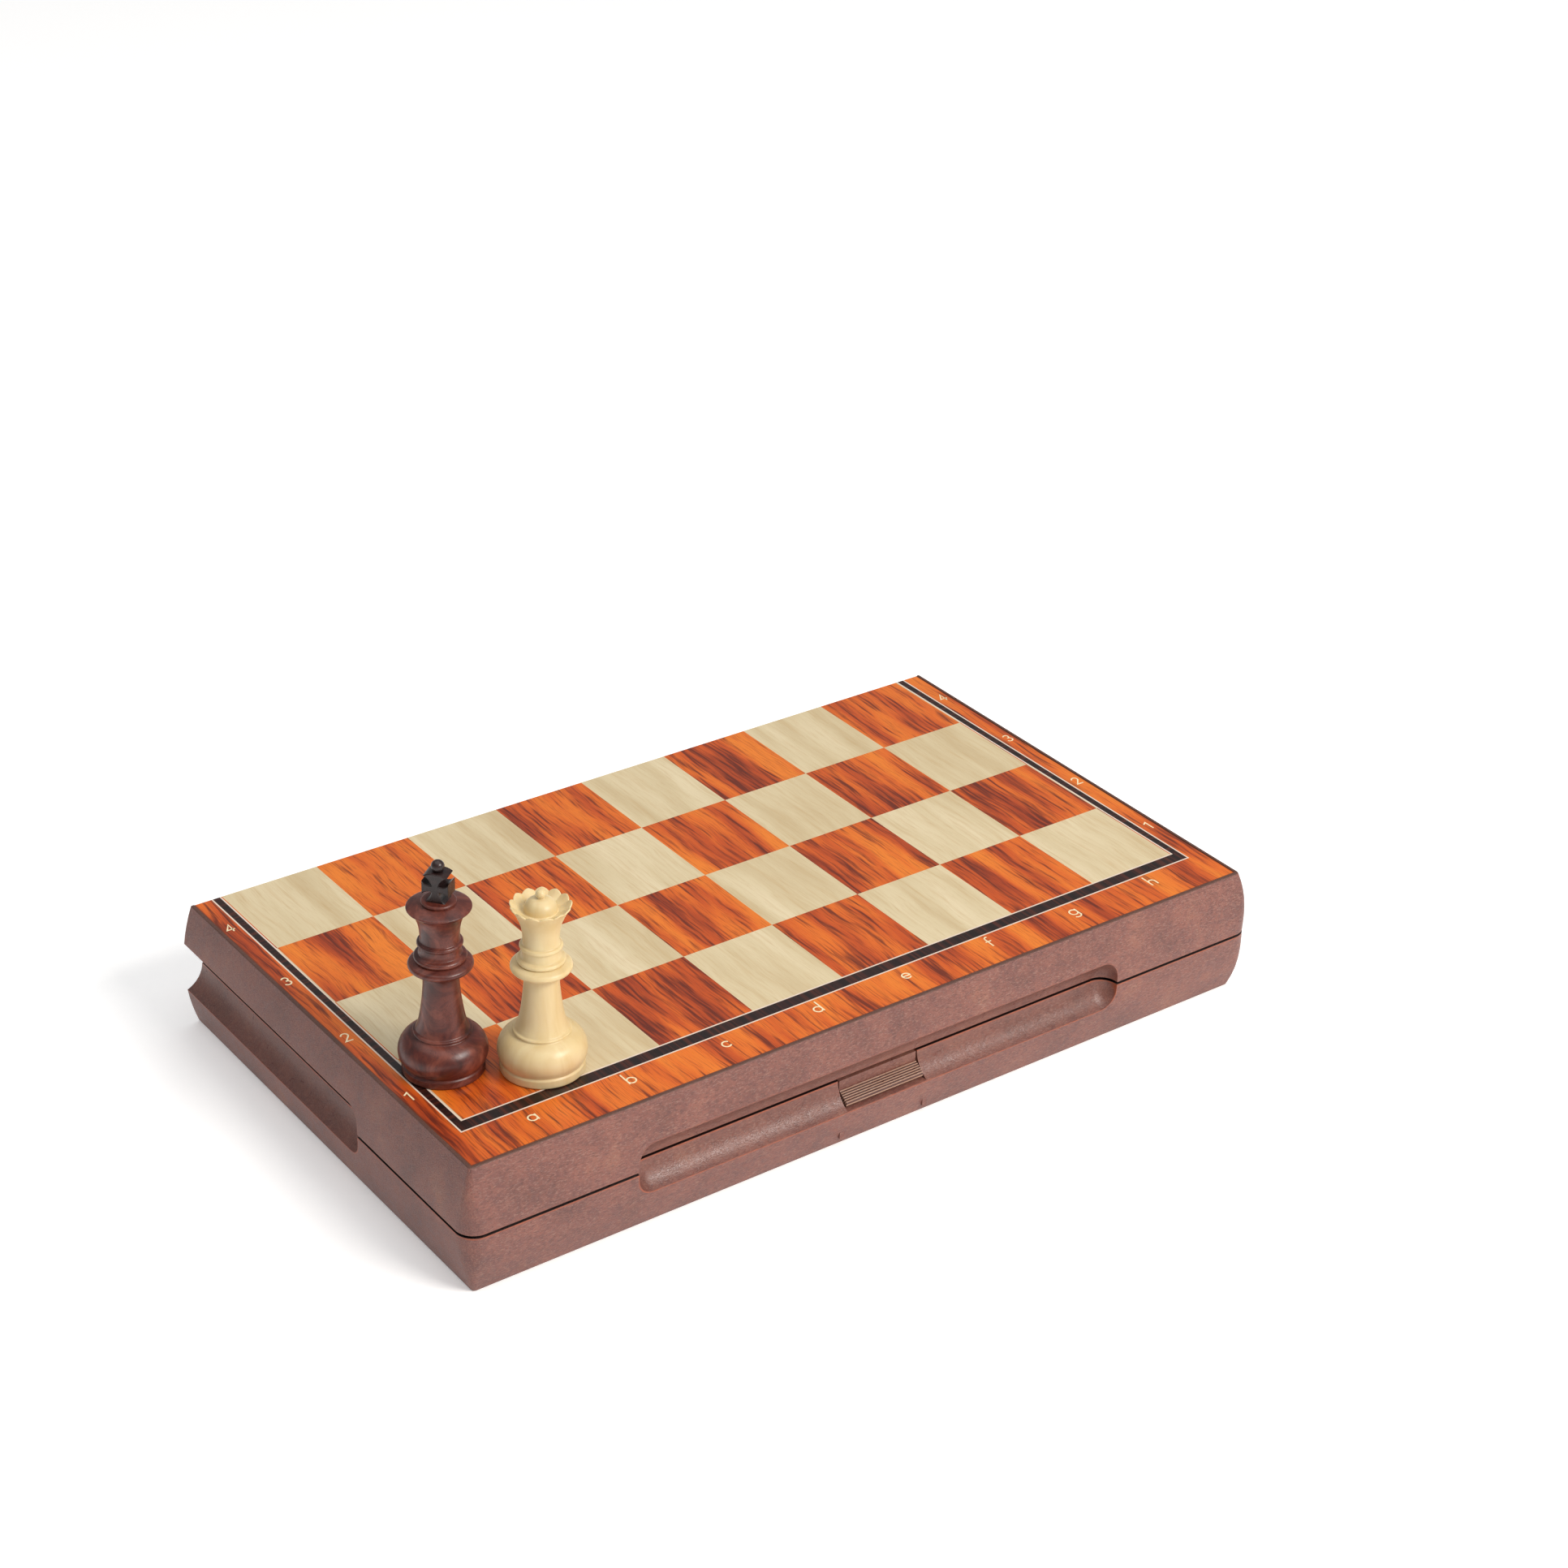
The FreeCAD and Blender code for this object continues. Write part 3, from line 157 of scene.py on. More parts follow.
def wood_filled_plastic(name, ribs_painted_lit=False):
    """Moulded wood-plastic composite: short wood fibres float in brown-purple resin, so the skin is
    cloudy, flecked and slightly rough, polished in the finger channels and tan-orange along its edges, partly
    worn and partly a painted highlight.
    The latch's ribs get a painted highlight on their crests and painted shade in their grooves."""
    f = Finish(name)
    axes = f.add("SeparateXYZ", {0: f.place}, out=None).outputs
    clouds = f.add("TexNoise", {"Vector": f.place, "Scale": 0.045, "Detail": 5.0, "Roughness": 0.62})
    swirls = f.add("TexNoise", {"Vector": f.place, "Scale": 0.30, "Detail": 4.0, "Roughness": 0.6,
                                "Distortion": 1.2})
    resin = f.add("ValToRGB", {0: clouds},
                  stops=[(0.30, "5D3630"), (0.46, "77473F"), (0.58, "855045"), (0.72, "9A6550")])
    patches = f.add("ValToRGB", {0: swirls}, stops=[(0.35, "643B36"), (0.62, "8C5849")])
    base = f.add("Mix", {0: 0.42, 6: resin, 7: patches}, out=2, data_type="RGBA")
    fibres = {"light": 0.0, "dark": 0.0}
    for turn in ((0.4, 0.7, 0.2), (1.3, -0.5, 0.9), (-0.7, 1.6, 2.1)):
        laid = f.add("Mapping", {"Vector": f.place, "Rotation": turn, "Scale": (0.75, 3.6, 2.4)})
        fleck = f.add("TexNoise", {"Vector": laid, "Scale": 1.0, "Detail": 2.0, "Roughness": 0.5})
        for tone, first, full in (("light", 0.60, 0.70), ("dark", 0.40, 0.31)):
            marks = f.add("MapRange", {"Value": fleck, "From Min": first, "From Max": full})
            fibres[tone] = f.add("Math", {0: fibres[tone], 1: marks}, operation="MAXIMUM")
    for tone, most, colour in (("dark", 0.42, "402420"), ("light", 0.32, "B08C7C")):
        share = f.add("Math", {0: fibres[tone], 1: most}, operation="MULTIPLY")
        base = f.add("Mix", {0: share, 6: base, 7: colour}, out=2, data_type="RGBA")

    # Signed distance to the outline of a finger channel, seen from the front or from the side.
    height = f.add("Math", {0: axes[2], 1: MIDDLE}, operation="SUBTRACT")
    height = f.add("Math", {0: height}, operation="ABSOLUTE")
    across = f.add("Math", {0: axes[0]}, operation="ABSOLUTE")
    side_along = f.add("Math", {0: CASE_FRONT + SIDE_CHANNEL_START, 1: axes[1]}, operation="SUBTRACT")
    on_front = f.add("Math", {0: axes[1], 1: CASE_FRONT + CHANNEL_ZONE}, operation="LESS_THAN")
    on_side = f.add("Math", {0: across, 1: CASE_SIDE - CHANNEL_ZONE}, operation="GREATER_THAN")
    past_side = f.add("Math", {0: height, 1: CHANNEL_HALF_HEIGHT - CHANNEL_CORNER}, operation="SUBTRACT")
    channel = FAR
    for along, end, seen in ((across, CHANNEL_HALF_LENGTH, on_front), (side_along, 0.0, on_side)):
        past_end = f.add("Math", {0: along, 1: end - CHANNEL_CORNER}, operation="SUBTRACT")
        corner = f.add("CombineXYZ", {0: f.add("Math", {0: past_end, 1: 0.0}, operation="MAXIMUM"),
                                      1: f.add("Math", {0: past_side, 1: 0.0}, operation="MAXIMUM")})
        outside = f.add("VectorMath", {0: corner}, out="Value", operation="LENGTH")
        inside = f.add("Math", {0: past_end, 1: past_side}, operation="MAXIMUM")
        inside = f.add("Math", {0: inside, 1: 0.0}, operation="MINIMUM")
        distance = f.add("Math", {0: outside, 1: inside}, operation="ADD")
        distance = f.add("Math", {0: distance, 1: CHANNEL_CORNER}, operation="SUBTRACT")
        away = f.add("Math", {0: seen, 1: -FAR, 2: FAR}, operation="MULTIPLY_ADD")
        distance = f.add("Math", {0: distance, 1: away}, operation="ADD")
        channel = f.add("Math", {0: channel, 1: distance}, operation="MINIMUM")
    in_channel = f.add("MapRange", {"Value": channel, "From Min": 0.1, "From Max": -1.2})
    # Painted shade: the inside of a finger channel is painted a little darker (6A4638, up to a quarter
    # share).
    base = f.marked(base, "6A4638", channel, 0.1, -1.2, 0.25)

    if ribs_painted_lit:
        out = f.add("Math", {0: LATCH_PLATE, 1: axes[1]}, operation="SUBTRACT")
        down = f.add("Math", {0: LATCH_SLOPE_TOP, 1: axes[2]}, operation="SUBTRACT")
        along = f.add("CombineXYZ", {0: out, 1: down})
        along = f.add("VectorMath", {0: along, 1: (LATCH_REACH, LATCH_DROP, 0.0)}, out="Value",
                      operation="DOT_PRODUCT")
        along = f.add("Math", {0: along, 1: LATCH_RIBS / (LATCH_REACH ** 2 + LATCH_DROP ** 2)},
                      operation="MULTIPLY")
        on_slope = f.add("Math", {0: along, 1: 0.2}, operation="GREATER_THAN")
        crest = f.add("Math", {0: along}, operation="FRACT")
        crest = f.add("Math", {0: crest, 1: 0.5}, operation="SUBTRACT")
        crest = f.add("Math", {0: crest}, operation="ABSOLUTE")
        # Painted light on the latch's ribs: the dark grooves (3E241E) are painted shade, the pale crests
        # (BE9C84) a painted highlight.
        for first, full, most, colour in ((0.26, 0.36, 0.85, "3E241E"), (0.26, 0.14, 0.70, "BE9C84")):
            share = f.add("MapRange", {"Value": crest, "From Min": first, "From Max": full, "To Max": most})
            share = f.add("Math", {0: share, 1: on_slope}, operation="MULTIPLY")
            base = f.add("Mix", {0: share, 6: base, 7: colour}, out=2, data_type="RGBA")
    else:
        # Tan-orange along the channel outlines and beside the parting gap: partly worn edges, partly a
        # painted highlight on the edges that face up, broken up by noise.
        edge = f.add("Math", {0: channel}, operation="ABSOLUTE")
        edge = f.add("MapRange", {"Value": edge, "From Min": 0.34, "From Max": 0.08})
        from_lip = f.add("Math", {0: height, 1: LIP}, operation="SUBTRACT")
        lip = f.add("MapRange", {"Value": from_lip, "From Min": 0.72, "From Max": 0.36})
        # The lower half's edges face up to the light and get the painted highlight in full; the upper half's
        # get 0.22 of it.
        is_lower = f.add("Math", {0: axes[2], 1: MIDDLE}, operation="LESS_THAN")
        is_lower = f.add("MapRange", {"Value": is_lower, "To Min": 0.22})
        wear = f.add("TexNoise", {"Vector": f.place, "Scale": 0.5, "Detail": 3.0})
        wear = f.add("MapRange", {"Value": wear, "From Min": 0.34, "From Max": 0.58, "To Min": 0.55})
        wear_and_highlight = f.add("Math", {0: edge, 1: lip}, operation="MAXIMUM")
        wear_and_highlight = f.add("Math", {0: wear_and_highlight, 1: is_lower}, operation="MULTIPLY")
        wear_and_highlight = f.add("Math", {0: wear_and_highlight, 1: wear}, operation="MULTIPLY")
        base = f.marked(base, "4A2C1E", height, MIDDLE - 0.40, MIDDLE - 0.15, 0.75)
        base = f.add("Mix", {0: wear_and_highlight, 6: base, 7: "A04E2C"}, out=2, data_type="RGBA")
        # Painted shade: the faces down in the gap between the two halves are painted near black.
        base = f.marked(base, "241310", from_lip, 0.10, 0.03)

    grit = f.add("TexNoise", {"Vector": f.place, "Scale": 2.6, "Detail": 3.0, "Roughness": 0.65})
    relief = f.add("Math", {0: fibres["light"], 1: 0.5, 2: grit}, operation="MULTIPLY_ADD")
    relief = f.add("Math", {0: fibres["dark"], 1: -0.5, 2: relief}, operation="MULTIPLY_ADD")
    calm = f.add("MapRange", {"Value": in_channel, "To Min": 1.0, "To Max": 0.45})
    relief = f.add("Math", {0: relief, 1: calm}, operation="MULTIPLY")
    gloss = f.add("MapRange", {"Value": swirls, "From Min": 0.3, "From Max": 0.7, "To Min": 0.40,
                               "To Max": 0.54})
    gloss = f.add("Math", {0: in_channel, 1: -0.14, 2: gloss}, operation="MULTIPLY_ADD")
    return f.surface({"Base Color": base, "Roughness": gloss, "IOR": 1.52, "Specular IOR Level": 0.55},
                     [(swirls, 0.10), (relief, 0.11)])


def printed_laminate():
    """Printed and lacquered laminate: a picture of rosewood and maple veneer under a clear satin skin,
    so the grain has no relief of its own and the gloss is even, with fine inlaid light lines."""
    f = Finish("rosewood_and_maple_print_under_lacquer")
    axes = f.add("SeparateXYZ", {0: f.place}, out=None).outputs
    under = f.add("Math", {0: axes[2], 1: MIDDLE}, operation="LESS_THAN")
    file = f.add("Math", {0: axes[0], 1: 1 / CELL_WIDTH, 2: 4.0}, operation="MULTIPLY_ADD")
    file = f.add("Math", {0: file}, operation="FLOOR")
    along = f.add("Math", {0: axes[1], 1: CORNER_Y}, operation="SUBTRACT")
    rank = f.add("Math", {0: along, 1: CELL_DEPTH}, operation="DIVIDE")
    rank = f.add("Math", {0: rank}, operation="FLOOR")
    count = f.add("Math", {0: file, 1: rank}, operation="ADD")
    count = f.add("Math", {0: count, 1: under}, operation="ADD")
    is_maple = f.add("Math", {0: count, 1: 2.0}, operation="FLOORED_MODULO")

    across = f.add("Math", {0: axes[0]}, operation="ABSOLUTE")
    frame_lines = []
    for side, front in ((0.6, 0.1), (3.6, 5.1)):
        past_side = f.add("Math", {0: across, 1: -CORNER_X + side}, operation="SUBTRACT")
        past_front = f.add("Math", {0: -front, 1: along}, operation="SUBTRACT")
        frame_lines.append(f.add("Math", {0: past_side, 1: past_front}, operation="MAXIMUM"))
    in_squares = f.add("Math", {0: frame_lines[0], 1: 0.0}, operation="LESS_THAN")
    in_band = f.add("Math", {0: frame_lines[1], 1: 0.0}, operation="LESS_THAN")
    in_band = f.add("Math", {0: in_band, 1: in_squares}, operation="SUBTRACT")
    lines = 0.0
    for line in frame_lines:
        near = f.add("Math", {0: line}, operation="ABSOLUTE")
        near = f.add("MapRange", {"Value": near, "From Min": 0.30, "From Max": 0.22})
        lines = f.add("Math", {0: lines, 1: near}, operation="MAXIMUM")

    # Each square is cut from another part of the veneer; the border is one run of it.
    cell = f.add("CombineXYZ", {0: file, 1: rank, 2: under})
    chance = f.add("TexWhiteNoise", {"Vector": cell}, out="Color", noise_dimensions="3D")
    shift = f.add("VectorMath", {0: chance, "Scale": VENEER_LENGTH}, operation="SCALE")
    shift = f.add("VectorMath", {0: shift, "Scale": in_squares}, operation="SCALE")
    veneer = f.add("VectorMath", {0: f.place, 1: shift}, operation="ADD")
    drift = f.add("TexNoise", {"Vector": veneer, "Scale": 0.03, "Detail": 2.0}, out=1)
    drift = f.add("VectorMath", {0: drift, 1: (0.5, 0.5, 0.5)}, operation="SUBTRACT")
    drift = f.add("VectorMath", {0: drift, 1: (5.0, 0.0, 0.0)}, operation="MULTIPLY")
    veneer = f.add("VectorMath", {0: veneer, 1: drift}, operation="ADD")

    heart = f.add("Mapping", {"Vector": veneer, "Scale": (0.85, 0.045, 0.5)})
    heart = f.add("TexNoise", {"Vector": heart, "Scale": 1.0, "Detail": 3.0, "Roughness": 0.6,
                               "Distortion": 0.12})
    broad = f.add("Mapping", {"Vector": veneer, "Scale": (0.10, 0.012, 0.5)})
    broad = f.add("TexNoise", {"Vector": broad, "Scale": 1.0, "Detail": 2.0})
    pores = f.add("Mapping", {"Vector": veneer, "Scale": (3.4, 0.10, 0.5)})
    pores = f.add("TexNoise", {"Vector": pores, "Scale": 1.0, "Detail": 2.0, "Roughness": 0.7})
    dense = f.add("Math", {0: broad, 1: 0.55, 2: heart}, operation="MULTIPLY_ADD")
    rosewood = f.add("ValToRGB", {0: broad},
                     stops=[(0.34, "E37C27"), (0.47, "D9691F"), (0.57, "C35219"), (0.68, "A23D15")])
    rosewood = f.marked(rosewood, "7E2C10", pores, 0.52, 0.68, 0.55)
    rosewood = f.marked(rosewood, "521A0E", dense, 0.78, 0.95, 0.85)
    maple = f.add("ValToRGB", {0: broad}, stops=[(0.30, "DDCDAA"), (0.50, "D3C29D"), (0.70, "C5B089")])
    maple = f.marked(maple, "BFA274", heart, 0.48, 0.72, 0.45)
    maple = f.marked(maple, "B0905F", pores, 0.54, 0.74, 0.40)

    # The dark inlay band is built of short pieces laid crosswise.
    at_front = f.add("Math", {0: along, 1: 0.0}, operation="LESS_THAN")
    run = f.add("Mix", {0: at_front, 2: axes[1], 3: axes[0]}, out=0, data_type="FLOAT")
    piece = f.add("TexNoise", {"W": run, "Scale": 0.28, "Detail": 2.0, "Roughness": 0.6},
                  noise_dimensions="1D")
    band = f.add("ValToRGB", {0: piece},
                 stops=[(0.40, "1A0C0A"), (0.52, "2C1410"), (0.60, "4A2014"), (0.66, "220F0C")])

    squares = f.add("Mix", {0: is_maple, 6: rosewood, 7: maple}, out=2, data_type="RGBA")
    colour = rosewood
    for share, over in ((in_squares, squares), (in_band, band), (lines, "E0CEBE")):
        colour = f.add("Mix", {0: share, 6: colour, 7: over}, out=2, data_type="RGBA")
    rim = f.add("Math", {0: across, 1: PANEL_EDGE[0] - RIM}, operation="SUBTRACT")
    rim_front = f.add("Math", {0: PANEL_EDGE[1] + RIM, 1: axes[1]}, operation="SUBTRACT")
    rim = f.add("Math", {0: rim, 1: rim_front}, operation="MAXIMUM")
    colour = f.marked(colour, "5A2C17", rim, 0.0, RIM / 2, 0.8)
    peel = f.add("TexNoise", {"Vector": f.place, "Scale": 0.35, "Detail": 1.0})
    return f.surface({"Base Color": colour, "IOR": 1.5}, [(peel, 0.02), (pores, 0.006)], (pores, 0.27, 0.36))


def walnut_plastic():
    """Walnut-streaked moulded plastic: two browns that swirl round the man like turned wood, with a
    few hairlines where they meet, under a satin polish that picks up soft highlights."""
    f = Finish("walnut_streaked_plastic_polished", "upright")
    wrapped = f.add("Mapping", {"Vector": f.place, "Scale": (0.075, 0.075, 0.085)})
    swirl = f.add("TexNoise", {"Vector": wrapped, "Scale": 1.0, "Detail": 5.0, "Roughness": 0.6,
                               "Distortion": 1.6})
    tone = f.add("ValToRGB", {0: swirl},
                 stops=[(0.30, "2C110E"), (0.43, "4D1F18"), (0.55, "693226"), (0.70, "824636")])
    seam = f.add("Math", {0: swirl, 1: 0.53}, operation="SUBTRACT")
    seam = f.add("Math", {0: seam}, operation="ABSOLUTE")
    fine = f.add("Mapping", {"Vector": f.place, "Scale": (0.5, 0.5, 0.22)})
    fine = f.add("TexNoise", {"Vector": fine, "Scale": 1.0, "Detail": 3.0, "Distortion": 0.5})
    tone = f.marked(tone, "3A1A15", fine, 0.48, 0.72, 0.30)
    tone = f.marked(tone, "1C0D0C", seam, 0.006, 0.001, 0.55)
    haze = f.add("TexNoise", {"Vector": f.place, "Scale": 1.4, "Detail": 2.0})
    return f.surface({"Base Color": tone, "IOR": 1.5}, [(haze, 0.02), (fine, 0.015)], (fine, 0.30, 0.42))


def ivory_plastic():
    """Ivory moulded plastic, slightly translucent: light goes a little way in, so edges glow warm and
    the satin highlight stays soft; faint flow marks run up the man."""
    f = Finish("ivory_plastic_moulded", "upright")
    flow = f.add("Mapping", {"Vector": f.place, "Scale": (0.16, 0.16, 0.03)})
    flow = f.add("TexNoise", {"Vector": flow, "Scale": 1.0, "Detail": 4.0, "Distortion": 1.0})
    tone = f.add("ValToRGB", {0: flow}, stops=[(0.30, "DECA9C"), (0.50, "D9C292"), (0.70, "D2B884")])
    haze = f.add("TexNoise", {"Vector": f.place, "Scale": 1.1, "Detail": 2.0})
    return f.surface({"Base Color": tone, "IOR": 1.5, "Subsurface Weight": 0.18, "Subsurface Scale": 1.6 * MM,
                      "Subsurface Radius": (1.0, 0.75, 0.4)}, [(haze, 0.02)], (haze, 0.33, 0.43))


def finial_plastic():
    """Black-brown moulded plastic, glossier than the king below it, with soft tool marks."""
    f = Finish("black_brown_plastic_glossy", "upright")
    blotch = f.add("TexNoise", {"Vector": f.place, "Scale": 0.5, "Detail": 3.0})
    tone = f.add("ValToRGB", {0: blotch}, stops=[(0.35, "190E0E"), (0.70, "301D1B")])
    marks = f.add("TexNoise", {"Vector": f.place, "Scale": 2.2, "Detail": 2.0})
    return f.surface({"Base Color": tone, "IOR": 1.5}, [(marks, 0.015)], (marks, 0.26, 0.40))


def print_ink():
    """Cream screen-printed ink, thin and even, a touch worn at random."""
    f = Finish("cream_ink_screen_printed")
    wear = f.add("TexNoise", {"Vector": f.place, "Scale": 2.0, "Detail": 2.0})
    tone = f.add("ValToRGB", {0: wear}, stops=[(0.30, "D9C294"), (0.55, "F0E2BC")])
    return f.surface({"Base Color": tone, "Roughness": 0.4, "IOR": 1.5})


def flocked_tray():
    """Formed sheet sprayed with short nylon flock: matt, deep brown, fuzzy towards grazing light."""
    f = Finish("brown_nylon_flock_sprayed")
    nap = f.add("TexNoise", {"Vector": f.place, "Scale": 1.8, "Detail": 4.0, "Roughness": 0.7})
    lay = f.add("TexNoise", {"Vector": f.place, "Scale": 0.06, "Detail": 3.0})
    tone = f.add("ValToRGB", {0: lay}, stops=[(0.35, "3A1F1A"), (0.65, "4C2A22")])
    tone = f.marked(tone, "6B4136", nap, 0.45, 0.75, 0.35)
    return f.surface({"Base Color": tone, "Roughness": 0.92, "IOR": 1.5, "Sheen Weight": 0.35,
                      "Sheen Roughness": 0.5}, [(nap, 0.25)])


def baize():
    """Green wool baize: matt, felted fibres in every direction."""
    f = Finish("green_wool_baize_felted")
    fibre = f.add("TexNoise", {"Vector": f.place, "Scale": 2.4, "Detail": 5.0, "Roughness": 0.75,
                               "Distortion": 1.5})
    tone = f.add("ValToRGB", {0: fibre}, stops=[(0.35, "153A22"), (0.65, "2B5C38")])
    return f.surface({"Base Color": tone, "Roughness": 0.95, "IOR": 1.5, "Sheen Weight": 0.3},
                     [(fibre, 0.15)])


def metal(name, dark, light, smoothest, roughest, drawn):
    """Bare metal: fine lines along the way it was drawn or rolled, and faint dull patches."""
    f = Finish(name)
    lines = f.add("Mapping", {"Vector": f.place, "Scale": drawn})
    lines = f.add("TexNoise", {"Vector": lines, "Scale": 1.0, "Detail": 3.0, "Roughness": 0.7})
    tone = f.add("ValToRGB", {0: lines}, stops=[(0.35, dark), (0.65, light)])
    return f.surface({"Base Color": tone, "Metallic": 1.0}, [(lines, 0.004)], (lines, smoothest, roughest))


def ferrite():
    """Sintered ferrite: charcoal, dull, with a grain like fine cast iron."""
    f = Finish("ferrite_sintered")
    grain = f.add("TexNoise", {"Vector": f.place, "Scale": 3.0, "Detail": 4.0, "Roughness": 0.7})
    tone = f.add("ValToRGB", {0: grain}, stops=[(0.35, "26262A"), (0.65, "3C3C40")])
    return f.surface({"Base Color": tone, "Roughness": 0.62, "IOR": 1.6}, [(grain, 0.03)])


FINISHES = {
    "case_plastic": wood_filled_plastic("wood_plastic_composite_moulded"),
    "printed_board": printed_laminate(),
    "dark_men": walnut_plastic(),
    "dark_finial": finial_plastic(),
    "cream_men": ivory_plastic(),
    "tray_flock": flocked_tray(),
    "felt": baize(),
    "magnet": ferrite(),
    "sheet_steel": metal("steel_sheet_rolled", "8A8C90", "B4B6BA", 0.30, 0.45, (0.05, 4.0, 4.0)),
    "pin_steel": metal("steel_wire_drawn", "9A9A9C", "C2C2C4", 0.22, 0.36, (0.08, 6.0, 6.0)),
    "spring_steel": metal("spring_strip_blued", "30343F", "4A5162", 0.24, 0.38, (3.0, 0.3, 0.3)),
}
INK = print_ink()
RIBS_PAINTED_LIT = wood_filled_plastic("wood_plastic_composite_ribs_painted_lit", ribs_painted_lit=True)

for part in frame["record"]["subparts"]:
    piece = nodes[part["node"]]
    piece.data.materials.clear()
    piece.data.materials.append(RIBS_PAINTED_LIT if part["node"] == "latch" else FINISHES[part["material_slot"]])


# ---------------------------------------------------------------- meshes

def new_piece(name, verts, faces, material, body, smooth_angle=None, upright=None):
    """A mesh piece in metres that rides on a body."""
    mesh = bpy.data.meshes.new(name)
    mesh.from_pydata([tuple(v) for v in verts], [], faces)
    mesh.materials.append(material)
    if upright is not None:
        attribute = mesh.attributes.new("upright", "FLOAT_VECTOR", "POINT")
        attribute.data.foreach_set("vector", [c for v in upright for c in v])
    if smooth_angle is not None:
        mesh.shade_smooth()
        mesh.set_sharp_from_angle(angle=math.radians(smooth_angle))
    mesh.validate()
    piece = bpy.data.objects.new(name, mesh)
    bpy.context.scene.collection.objects.link(piece)
    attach(piece, body)
    return piece


def arc_points(first, last, bow, count=9):
    """Points after first up to last on an arc that bows to the right by that share of its chord."""
    first, last = Vector(first), Vector(last)
    if abs(bow) < 1e-6:
        return [last]
    chord = last - first
    radius = chord.length * (bow * bow + 0.25) / (2 * abs(bow))
    side = Vector((chord.y, -chord.x)).normalized() * math.copysign(1, bow)
    centre = (first + last) / 2 + side * (abs(bow) * chord.length - radius)
    start = first - centre
    angle = 2 * math.asin(min(1.0, chord.length / 2 / radius))
    if abs(bow) > 0.5:
        angle = 2 * math.pi - angle
    angle *= math.copysign(1, bow)
    points = []
    for step in range(1, count + 1):
        turn = angle * step / count
        points.append(centre + Vector((start.x * math.cos(turn) - start.y * math.sin(turn),
                                       start.x * math.sin(turn) + start.y * math.cos(turn))))
    points[-1] = last
    return points


def traced(outline):
    """Dense points of an outline of (x, y) lines and (x, y, bow) arcs."""
    points = [Vector(outline[0][:2])]
    for corner in outline[1:]:
        points += arc_points(points[-1], corner[:2], corner[2] if len(corner) == 3 else 0.0)
    return points


def eased(points, reach):
    """Points with every sharp corner taken off by a small round, at most reach long on each side."""
    result = [points[0]]
    for before, here, after in zip(points, points[1:], points[2:]):
        back, on = before - here, after - here
        if back.length < 1e-6 or on.length < 1e-6:
            continue
        if back.angle(on) > math.radians(152):
            result.append(here)
            continue
        back_reach = min(reach, back.length * 0.45)
        on_reach = min(reach, on.length * 0.45)
        start = here + back.normalized() * back_reach
        end = here + on.normalized() * on_reach
        for share in (0.0, 0.25, 0.5, 0.75, 1.0):
            result.append(start * (1 - share) ** 2 + here * 2 * share * (1 - share) + end * share ** 2)
    return result + [points[-1]]


def lathe(profile, sides, start=0.0):
    """Turn (radius, height) points about the upright axis, the first side at an angle."""
    verts = []
    rings = []
    for point in profile:
        if point[0] < 1e-6:
            rings.append([len(verts)])
            verts.append(Vector((0.0, 0.0, point[1])))
            continue
        ring = []
        for step in range(sides):
            angle = start + 2 * math.pi * step / sides
            ring.append(len(verts))
            verts.append(Vector((point[0] * math.cos(angle), point[0] * math.sin(angle), point[1])))
        rings.append(ring)
    faces = []
    for low, high in zip(rings, rings[1:]):
        for step in range(sides):
            nxt = (step + 1) % sides
            if len(low) == 1:
                faces.append((low[0], high[nxt], high[step]))
            elif len(high) == 1:
                faces.append((low[step], low[nxt], high[0]))
            else:
                faces.append((low[step], low[nxt], high[nxt], high[step]))
    return verts, faces


def merged(*parts):
    """Several (verts, faces) as one."""
    verts, faces = [], []
    for part_verts, part_faces in parts:
        base = len(verts)
        verts += part_verts
        faces += [tuple(base + i for i in face) for face in part_faces]
    return verts, faces


INSET_PASSES = 12


def inset(outline, reach):
    """A closed outline drawn in by reach. Neighbouring points that would pass each other meet instead,
    which takes a few passes where the outline turns tightly."""
    count = len(outline)
    inner = []
    for index, here in enumerate(outline):
        before, after = outline[index - 1], outline[(index + 1) % count]
        normal_in = Vector((-(here - before).y, (here - before).x)).normalized()
        normal_out = Vector((-(after - here).y, (after - here).x)).normalized()
        bisector = (normal_in + normal_out).normalized()
        inner.append(here + bisector * reach / max(0.5, bisector.dot(normal_in)))
    for _ in range(INSET_PASSES):
        for index in range(count):
            nxt = (index + 1) % count
            if (inner[nxt] - inner[index]).dot(outline[nxt] - outline[index]) < 0:
                inner[index] = inner[nxt] = (inner[index] + inner[nxt]) / 2
    return inner


def prism(outline, thickness, ease, rounds=1):
    """An upright plate in the XZ plane with its edges eased or rounded: front, back and side faces."""
    count = len(outline)
    layers = []
    for step in range(rounds + 1):
        turn = math.pi / 2 * step / rounds
        depth = ease * (1 - math.cos(turn)) - thickness / 2
        layers.append((inset(outline, ease * (1 - math.sin(turn))), depth))
    layers += [(points, -depth) for points, depth in reversed(layers)]
    verts = []
    for points, depth in layers:
        verts += [Vector((point.x, depth, point.y)) for point in points]
    last = len(layers) - 1
    faces = [tuple(range(count)), tuple(reversed(range(last * count, (last + 1) * count)))]
    for layer in range(last):
        for index in range(count):
            nxt = (index + 1) % count
            low, high = layer * count, (layer + 1) * count
            faces.append((low + nxt, low + index, high + index, high + nxt))
    return verts, faces


